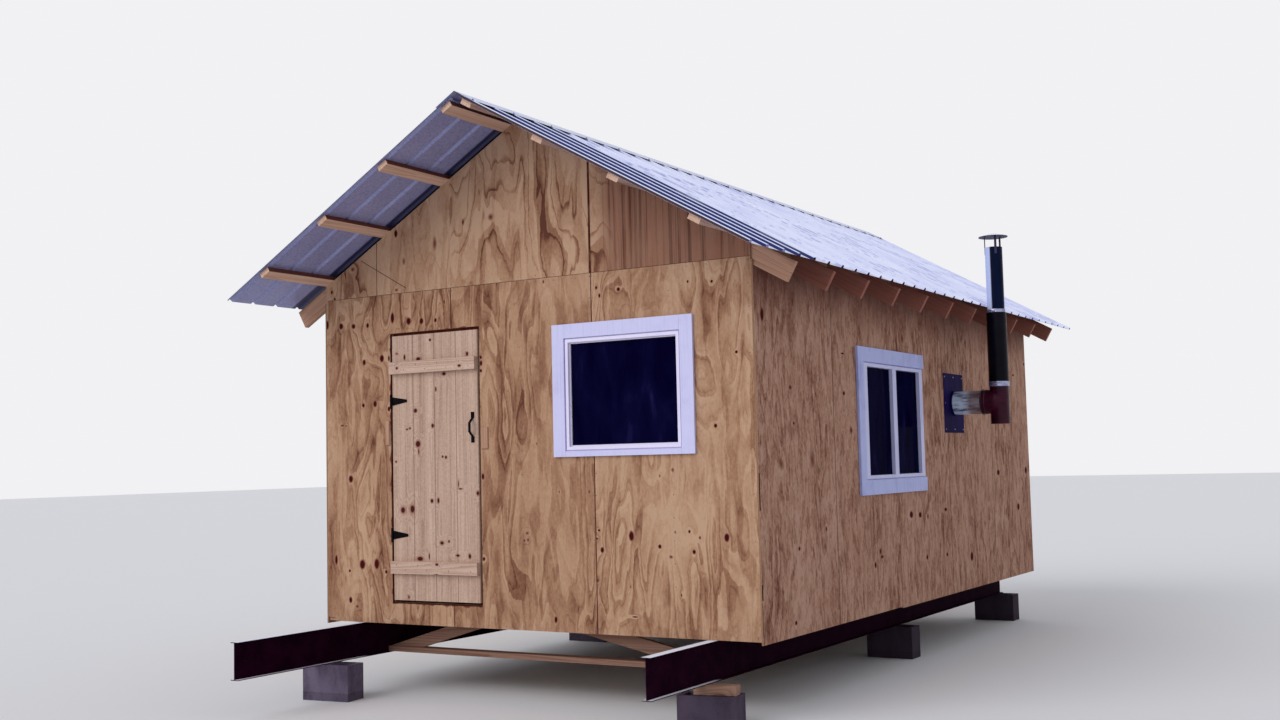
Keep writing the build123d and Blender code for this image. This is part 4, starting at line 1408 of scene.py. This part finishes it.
    def nail_front(self) -> None:
        """Nails up each stud, along the foot and on both sides of the gable's joint."""
        nails = bmesh.new()
        top = WALL_HEIGHT - self.edge
        for x in self.studs:
            self.nail_line(nails, spot(x, 0, self.foot), spot(x, 0, top), FRONT, self.front_gaps)
        for z in (self.edge, top, WALL_HEIGHT + self.gable_row):
            self.nail_line(nails, spot(self.edge, 0, z), spot(WALL_WIDTH - self.edge, 0, z), FRONT,
                           self.front_gaps)
        piece("front_nails", nails, NAIL, "cabin")

    def nail_sides(self) -> None:
        """Nails beside each seam, up the middle and ends of the sheets and along their foot."""
        nails = bmesh.new()
        beside = [i * SHEET + off for i in range(1, 5) for off in self.seam_nails]
        middles = [(i + 0.5) * SHEET for i in range(5)]
        ends = [self.edge, WALL_LENGTH - self.edge]
        top, low = WALL_HEIGHT - self.under_eave, self.side_foot
        for x, out, gaps in ((-self.skin, LEFT, ()), (WALL_WIDTH + self.skin, RIGHT, self.side_gaps)):
            for y in beside + middles + ends:
                self.nail_line(nails, spot(x, y, self.foot), spot(x, y, top), out, gaps)
            self.nail_line(nails, spot(x, ends[0], low), spot(x, ends[1], low), out, gaps)
        piece("side_nails", nails, NAIL, "cabin")

    def nail_back(self) -> None:
        """Nails up each stud of the back wall."""
        nails = bmesh.new()
        for x in self.studs:
            self.nail_line(nails, spot(x, WALL_LENGTH, self.foot),
                           spot(x, WALL_LENGTH, WALL_HEIGHT - self.edge), BACK)
        piece("back_nails", nails, NAIL, "cabin")


@dataclass
class Roof:
    """The ribbed metal, its cap and the screws that hold both to the purlins.

    Attributes:
        washer: the round foot of a screw.
        drive: the six-sided head on the washer.
        pan_height: how far above the rafters the flat of the metal lies.
        rib_height: how far above the rafters the cap lies on a rib.
        off_rib: how far behind a rib's middle its screw lies.
        cap_row: how far down the slope the cap's screws lie.
        bare_end: how far back the slopes are bare of frost.
        cap_bare_end: how far back the cap is.
    """

    washer: Head = Head(radius=7.5, height=2.0, sides=10, top=0.9)
    drive: Head = Head(radius=4.2, height=4.5, sides=6, top=0.95)
    pan_height: float = 39.0
    rib_height: float = 59.0
    off_rib: float = 38.0
    cap_row: float = 128.0
    bare_end: float = 250.0
    cap_bare_end: float = -640.0

    def dress(self) -> None:
        """Frosted metal on both slopes and on the cap."""
        dress(RoofMetal("roof metal", self.bare_end), "roof_metal_left", "roof_metal_right")
        dress(RoofMetal("cap metal", self.cap_bare_end), "ridge_cap")

    def screw(self, mesh: bmesh.types.BMesh, where: Vector, out: Vector) -> None:
        """A screw: a round washer with a six-sided head on it."""
        self.washer.stand(mesh, where, out)
        self.drive.stand(mesh, where + out * (self.washer.height * MM), out)

    def build(self) -> None:
        """Screws beside every rib along every purlin, and along the cap."""
        for side, label in ((-1, "left"), (1, "right")):
            out = ROOF.out(side)
            screws = bmesh.new()
            for i in range(ROOF.rib_count - 1):
                y = ROOF.rib(i) + self.off_rib
                for down in ROOF.purlin_rows:
                    self.screw(screws, ROOF.point(down, self.pan_height, y, side), out)
            for i in range(0, ROOF.rib_count, 2):
                self.screw(screws, ROOF.point(self.cap_row, self.rib_height, ROOF.rib(i), side), out)
            piece(f"roof_screws_{label}", screws, SCREW, "cabin")


@dataclass
class Doorway:
    """The board door with its battens, hinges, handle and screws.

    Attributes:
        left: where the leaf starts.
        board: how far apart the boards lie.
        board_count: how many there are.
        board_middle: how far into a board its pair of screws is centred.
        batten_rows: the height of each batten's middle.
        batten_face: how far out a batten's face lies.
        batten_screw: the head of a batten's screw.
        batten_pair: how far beside and above the pair's middle each of its screws lies.
        hinge_rows: the height of each hinge's middle.
        iron_face: how far out the face of straps, plates and handle pads lies.
        strap_start: where the straps start.
        strap_screw: the head of a strap's screw.
        strap_holes: each hole's place along a strap and above its middle.
        handle: where the handle's middle lies, across and up.
        handle_screw: the head of a handle's screw.
        pad_off: how far above and below the middle the handle's pads lie.
        pad_hole: how far to each side of a pad's middle its holes lie.
        jamb_x: where the hinge plates' screws lie.
        jamb_screw: the head of a hinge plate's screw.
        jamb_holes: how far above a hinge's middle each of them lies.
        blocks: the outline of each scrap of board beside the leaf.
        block_depth: how far out a scrap's face and back lie.
        block_bevel: how far a scrap's edges are eased.
    """

    left: float = 655.0
    board: float = 200.5
    board_count: int = 4
    board_middle: float = 100.0
    batten_rows: tuple[float, float] = (414.0, 1880.0)
    batten_face: float = -38.0
    batten_screw: Head = Head(radius=4.2, height=0.8, sides=10, top=0.8)
    batten_pair: tuple[float, float] = (42.0, 18.0)
    hinge_rows: tuple[float, float] = (648.0, 1635.0)
    iron_face: float = -3.0
    strap_start: float = 658.0
    strap_screw: Head = Head(radius=4.0, height=1.6, sides=10, top=0.5)
    strap_holes: tuple[tuple[float, float], ...] = ((16, 15), (16, -15), (70, 9), (70, -9), (124, 0))
    handle: tuple[float, float] = (1407.0, 1420.0)
    handle_screw: Head = Head(radius=3.2, height=1.2, sides=10, top=0.5)
    pad_off: float = 88.0
    pad_hole: float = 8.0
    jamb_x: float = 640.0
    jamb_screw: Head = Head(radius=3.6, height=1.4, sides=10, top=0.5)
    jamb_holes: tuple[float, ...] = (-38.0, 0.0, 38.0)
    blocks: tuple[Edges, ...] = ((1487.0, 1545.0, 1264.0, 1419.0), (594.0, 632.0, 1313.0, 1493.0))
    block_depth: tuple[float, float] = (-11.0, -0.2)
    block_bevel: float = 2.5

    def dress(self) -> None:
        """Pale knotty pine and black iron."""
        dress(Timber("door boards", Grain.UPRIGHT, *PINE, board=self.board, start=self.left,
                     knots=DOOR_KNOTS, knotty=0.0, rings=0.22, grit=0.70), "door_boards")
        dress(Timber("door battens", Grain.CROSSWISE, tint(214, 186, 168), tint(160, 126, 108),
                     knots=BATTEN_KNOTS, knotty=0.0, grit=0.45), "door_battens")
        dress(Timber("door stops", Grain.UPRIGHT, tint(96, 40, 28), tint(60, 18, 14)), "door_stops")
        dress(IRON, "hinge_straps", "hinge_plates", "door_handle")

    def build(self) -> None:
        """Scraps of board beside the leaf, and every screw on and around it."""
        self.side_blocks()
        self.batten_screws()
        self.leaf_iron()
        self.jamb_screws()

    def side_blocks(self) -> None:
        """Two scraps of board that stand on the wall at either side of the leaf."""
        scrap = Timber("block board", Grain.UPRIGHT, tint(190, 152, 128), tint(150, 110, 88))
        blocks = bmesh.new()
        near, far = self.block_depth
        for x0, x1, z0, z1 in self.blocks:
            bar(blocks, spot(x0, near, z0), spot(x1, far, z1), self.block_bevel)
        piece("door_side_blocks", blocks, scrap, "cabin")

    def batten_screws(self) -> None:
        """A slanting pair of screws through each batten into each board."""
        screws = bmesh.new()
        beside, up = self.batten_pair
        for z in self.batten_rows:
            for i in range(self.board_count):
                middle = self.left + self.board_middle + i * self.board
                for side in (-1, 1):
                    where = spot(middle + side * beside, self.batten_face, z - side * up)
                    self.batten_screw.stand(screws, where, FRONT)
        piece("batten_screws", screws, NAIL, "door")

    def leaf_iron(self) -> None:
        """The screws of the hinge straps and of the handle's two pads."""
        screws = bmesh.new()
        for z in self.hinge_rows:
            for x, up in self.strap_holes:
                self.strap_screw.stand(screws, spot(self.strap_start + x, self.iron_face, z + up), FRONT)
        handle_x, handle_z = self.handle
        for up in (-self.pad_off, self.pad_off):
            for x in (-self.pad_hole, self.pad_hole):
                self.handle_screw.stand(screws, spot(handle_x + x, self.iron_face, handle_z + up), FRONT)
        piece("strap_screws", screws, IRON, "door")

    def jamb_screws(self) -> None:
        """Three screws in each hinge plate on the wall."""
        screws = bmesh.new()
        for z in self.hinge_rows:
            for up in self.jamb_holes:
                self.jamb_screw.stand(screws, spot(self.jamb_x, self.iron_face, z + up), FRONT)
        piece("jamb_screws", screws, IRON, "cabin")


@dataclass
class Glazing:
    """The two windows: vinyl frames, dark panes, trim boards, beads and gaskets.

    Attributes:
        front_opening: the front frame's opening.
        side_openings: the side frame's two openings, set out along the right wall.
        side_face: where the right wall's face lies.
        bead: the width of the glazing bead.
        bead_depth: how far out of the wall the bead starts and ends.
        gasket_depth: the same for the gaskets.
        front_gasket: the width of the front pane's gasket.
        side_gasket: the width of the side panes' gaskets.
        bevel: how far the edges of beads and gaskets are eased.
    """

    front_opening: Edges = (2247.0, 3101.0, 1258.0, 1972.0)
    side_openings: tuple[Edges, ...] = ((1837.0, 2354.5, 1003.0, 1817.0), (2432.5, 2950.0, 1003.0, 1817.0))
    side_face: float = 3669.0
    bead: float = 9.0
    bead_depth: tuple[float, float] = (-19.7, -6.0)
    gasket_depth: tuple[float, float] = (-19.7, -13.0)
    front_gasket: float = 4.0
    side_gasket: float = 5.0
    bevel: float = 1.5

    def dress(self) -> None:
        """White vinyl, painted trim and dark glass."""
        dress(VINYL, "front_window_frame")
        # The side frame and side trim are darker copies of the front's white, as painted shade on the side
        # wall.
        dress(Paint("side vinyl", tint(196, 196, 236), tint(150, 152, 204), streak=0.5, rough=0.4),
              "side_window_frame")
        dress(Paint("front trim", tint(204, 202, 240), tint(166, 166, 214), streak=0.6, rough=0.5),
              "front_window_trim")
        dress(Paint("side trim", tint(176, 182, 232), tint(112, 120, 188), streak=0.8, rough=0.5),
              "side_window_trim")
        dress(Pane("dark pane"), "window_glass")

    def on_front(self, across: float, out: float, up: float) -> Vector:
        """A place on the front wall, out of its face."""
        return spot(across, -out, up)

    def on_side(self, across: float, out: float, up: float) -> Vector:
        """A place on the right wall, out of its face."""
        return spot(self.side_face + out, across, up)

    def rim(self, mesh: bmesh.types.BMesh, opening: Edges, wall: Callable[[float, float, float], Vector],
            depth: tuple[float, float], width: float) -> None:
        """Four bevelled bars round the inside of an opening.

        Args:
            mesh: the shape to add to.
            opening: the opening that the bars line.
            wall: what sets a place out on that wall.
            depth: how far out of the wall the bars start and end.
            width: how wide each bar is.
        """
        x0, x1, z0, z1 = opening
        bars = ((x0, x0 + width, z0, z1), (x1 - width, x1, z0, z1),
                (x0 + width, x1 - width, z0, z0 + width), (x0 + width, x1 - width, z1 - width, z1))
        for a, b, c, d in bars:
            one, two = wall(a, depth[0], c), wall(b, depth[1], d)
            bar(mesh, Vector(map(min, one, two)), Vector(map(max, one, two)), self.bevel)

    def build(self) -> None:
        """A glazing bead round the front pane, and dark gaskets round all three."""
        beads = bmesh.new()
        self.rim(beads, self.front_opening, self.on_front, self.bead_depth, self.bead)
        piece("front_window_bead", beads, VINYL, "cabin")
        gaskets = bmesh.new()
        inner = tuple(edge + inward * self.bead for edge, inward in zip(self.front_opening, (1, -1, 1, -1)))
        self.rim(gaskets, inner, self.on_front, self.gasket_depth, self.front_gasket)
        for opening in self.side_openings:
            self.rim(gaskets, opening, self.on_side, self.gasket_depth, self.side_gasket)
        piece("window_gaskets", gaskets, GASKET, "cabin")


@dataclass
class Pipework:
    """The stovepipe through the right wall, its bands, collar, plate and cap.

    Attributes:
        x: where the upright pipe's axis lies, across the cabin.
        y: how far back it lies.
        z: how high the level pipe's axis lies.
        plate_face: where the wall plate's face lies.
        tee_top: the height of the tee's upper end.
        lower_top: the height of the lower pipe's upper end.
        lower_radius: the radius that the band at the tee goes round.
        upper_radius: the radius that the band above it goes round.
        tall_band: how far above the tee its band's middle lies, and the band's height.
        short_band: the same for the band at the lower pipe's top.
        latch: a latch's half width, depth and half height.
        latch_front: how far before the axis a latch's front lies.
        latch_bevel: how far a latch's edges are eased.
        latch_knob: the head on the latch.
        collars: each collar ring's distance from the axis, and its radius.
        collar_section: a collar ring's section, as points out from that radius and along the branch.
        plate_hole: how far from the plate's middle its screws lie, each way.
        plate_screw: the head of one of them.
    """

    x: float = 4075.912
    y: float = 3835.0
    z: float = 1588.0
    plate_face: float = 3672.0
    tee_top: float = 1716.0
    lower_top: float = 2346.0
    lower_radius: float = 83.0
    upper_radius: float = 73.0
    tall_band: tuple[float, float] = (20.0, 42.0)
    short_band: tuple[float, float] = (14.0, 30.0)
    latch: tuple[float, float, float] = (12.0, 22.0, 9.0)
    latch_front: float = 98.0
    latch_bevel: float = 2.0
    latch_knob: Head = Head(radius=5.0, height=5.0, sides=6, top=0.9)
    collars: tuple[tuple[float, float], ...] = ((140.5, 107.2), (112.0, 102.2))
    collar_section: tuple[tuple[float, float], ...] = ((0, -1.4), (3, -4), (4.8, 0), (3, 4), (0, 1.4))
    plate_hole: float = 225.0
    plate_screw: Head = Head(radius=6.0, height=3.0, sides=6, top=0.85)

    def dress(self) -> None:
        """Black, blue-black, dark red and galvanized metal."""
        dress(Steel("black pipe", tint(4, 3, 13), tint(9, 8, 22), rough=0.35, gloss=0.08), "chimney_lower")
        # The blue pipe's pale side bands are painted reflections.
        dress(Steel("blue pipe", tint(2, 8, 36), tint(6, 22, 54), rough=0.3, gloss=0.05,
                    stretch=(1.0, 1.0, 0.15), reflection_side=(-0.958, -0.287)), "chimney_upper")
        dress(Steel("cap steel", tint(52, 46, 78), tint(30, 26, 56), rough=0.5, rust=0.3, frost=0.9),
              "chimney_cap")
        dress(Steel("tee enamel", tint(62, 6, 34), tint(38, 2, 20), rough=0.35, rust=0.15, gloss=0.15),
              "pipe_tee")
        # Pale blue-white and dark blue streaks are painted highlights of crumpled foil, browning toward the
        # tee as a painted reflection of the wall.
        dress(Steel("streaked pipe", tint(204, 224, 250), tint(30, 32, 92), metallic=0.15, rough=0.4,
                    wall_reflection=(3790.0, 3850.0), stretch=(0.8, 2.2, 2.8)), "pipe_run")
        dress(Steel("blue plate", tint(20, 10, 56), tint(34, 20, 84), rough=0.6, gloss=0.02,
                    stretch=(1.0, 1.0, 0.2)), "wall_thimble")

    def build(self) -> None:
        """Locking bands with latches, the tee's collar rings and the plate's screws."""
        self.bands()
        self.collar()
        self.plate_screws()

    def bands(self) -> None:
        """A rolled band over each joint of the upright pipe, with its latch."""
        bands = bmesh.new()
        latches = bmesh.new()
        wide, deep, tall = self.latch
        front = self.y - self.latch_front
        joints = ((self.tee_top, self.lower_radius, self.tall_band),
                  (self.lower_top, self.upper_radius, self.short_band))
        for joint, radius, (above, height) in joints:
            z, half = joint + above, height / 2
            section = ((0.3, -half), (2.4, -half), (4.2, -half + 5), (2.6, 0), (4.2, half - 5), (2.4, half),
                       (0.3, half))
            ring(bands, spot(self.x, self.y, z), UP, radius, section)
            self.latch_knob.stand(latches, spot(self.x, front, z), FRONT)
        # The bars come last: heads that are added after a bevel get their faces in no fixed order.
        for joint, _, (above, _) in joints:
            z = joint + above
            low, high = spot(self.x - wide, front, z - tall), spot(self.x + wide, front + deep, z + tall)
            bar(latches, low, high, self.latch_bevel)
        piece("pipe_bands", bands, ZINC, "cabin")
        piece("band_latches", latches, ZINC, "cabin")

    def collar(self) -> None:
        """Two rolled rings round the tee's level branch."""
        rings = bmesh.new()
        for back, radius in self.collars:
            ring(rings, spot(self.x - back, self.y, self.z), RIGHT, radius, self.collar_section)
        red = Steel("collar red", tint(44, 10, 24), tint(20, 6, 16), rough=0.4, coat=0.3)
        piece("tee_collar", rings, red, "cabin")

    def plate_screws(self) -> None:
        """Eight screws round the edge of the wall plate."""
        screws = bmesh.new()
        places = (-self.plate_hole, 0, self.plate_hole)
        for y in places:
            for z in places:
                if y or z:
                    self.plate_screw.stand(screws, spot(self.plate_face, self.y + y, self.z + z), RIGHT)
        piece("plate_screws", screws, ZINC, "cabin")


@dataclass
class Footing:
    """The steel beams, block piers and pads."""

    def dress(self) -> None:
        """Dark red steel on grey blocks."""
        # The beams' own dark red is darkened to near black as painted shade under the cabin.
        dress(Steel("beam paint", tint(34, 6, 26), tint(22, 2, 18), rust=0.35, frost=0.95, rough=0.7,
                    gloss=0.01, frost_end=0.0), "beam_left", "beam_right")
        dress(Concrete("block concrete", tint(108, 96, 118), tint(80, 68, 88)), "pier_blocks")
        dress(Concrete("pad concrete", tint(92, 82, 100), tint(62, 52, 70)), "pier_pads")


@dataclass
class Studio:
    """The photograph's camera, a pale floor and soft light."""

    lens: float = 39.165
    far: float = 200.0
    eye: tuple[float, float, float] = (7591.8, -7911.4, 1140.6)
    right: tuple[float, float, float] = (0.85502, 0.51806, -0.02340)
    up: tuple[float, float, float] = (0.05798, -0.05065, 0.99703)
    back: tuple[float, float, float] = (0.51534, -0.85384, -0.07334)
    floor_half: float = 90.0
    floor_colour: Colour = (0.78, 0.78, 0.80, 1.0)
    sky_colour: Colour = (0.93, 0.95, 1.0, 1.0)
    sky_strength: float = 0.62
    backdrop: Colour = (0.88, 0.88, 0.90, 1.0)
    lamp_energy: float = 1.35
    lamp_angle: float = math.radians(50)
    lamp_toward: tuple[float, float, float] = (0.35, 0.85, -0.55)

    def camera(self) -> None:
        """Stand the camera where the photograph was taken."""
        data = bpy.data.cameras.new("photo camera")
        data.lens = self.lens
        data.clip_end = self.far
        made = bpy.data.objects.new("photo camera", data)
        turn = Matrix((self.right, self.up, self.back)).transposed().to_4x4()
        made.matrix_world = Matrix.Translation(spot(*self.eye)) @ turn
        bpy.context.scene.collection.objects.link(made)
        bpy.context.scene.camera = made

    def floor(self) -> None:
        """A wide pale floor at the ground."""
        mesh = bmesh.new()
        bmesh.ops.create_grid(mesh, x_segments=1, y_segments=1, size=self.floor_half)
        bench = Bench(bpy.data.materials.new("pale floor"))
        made = placed("floor", mesh, bench.finish(Base_Color=self.floor_colour, Roughness=0.9))

    def light(self) -> None:
        """An even sky, shown paler than it shines, and one broad lamp from the front left."""
        world = bpy.data.worlds.new("studio")
        bpy.context.scene.world = world
        bench = Bench(world)
        seen = bench.node("ShaderNodeLightPath", output="Is Camera Ray")
        seen = seen.most(seen.out("Is Glossy Ray")).most(seen.out("Is Transmission Ray"))
        sky = {"Color": self.sky_colour, "Strength": self.sky_strength}
        shining = bench.node("ShaderNodeBackground", inputs=sky)
        shown = bench.node("ShaderNodeBackground", inputs={"Color": self.backdrop})
        mixed = bench.node("ShaderNodeMixShader", inputs={0: seen, 1: shining, 2: shown})
        bench.node("ShaderNodeOutputWorld", inputs={"Surface": mixed})
        lamp = bpy.data.lights.new("broad lamp", "SUN")
        lamp.energy = self.lamp_energy
        lamp.angle = self.lamp_angle
        made = bpy.data.objects.new("broad lamp", lamp)
        made.rotation_mode = "QUATERNION"
        made.rotation_quaternion = Vector(self.lamp_toward).to_track_quat("-Z", "Y")
        bpy.context.scene.collection.objects.link(made)

    def build(self) -> None:
        """Set the whole studio up."""
        self.camera()
        self.floor()
        self.light()
        bpy.context.scene.view_settings.view_transform = "Standard"


def main() -> None:
    """Dress and finish the cabin, part by part, then light it."""
    logging.basicConfig(level=logging.INFO, format="%(name)s: %(message)s")
    for part in (Shell(), Roof(), Doorway(), Glazing(), Pipework()):
        part.dress()
        part.build()
    Footing().dress()
    Studio().build()


if __name__ == "__main__":
    main()
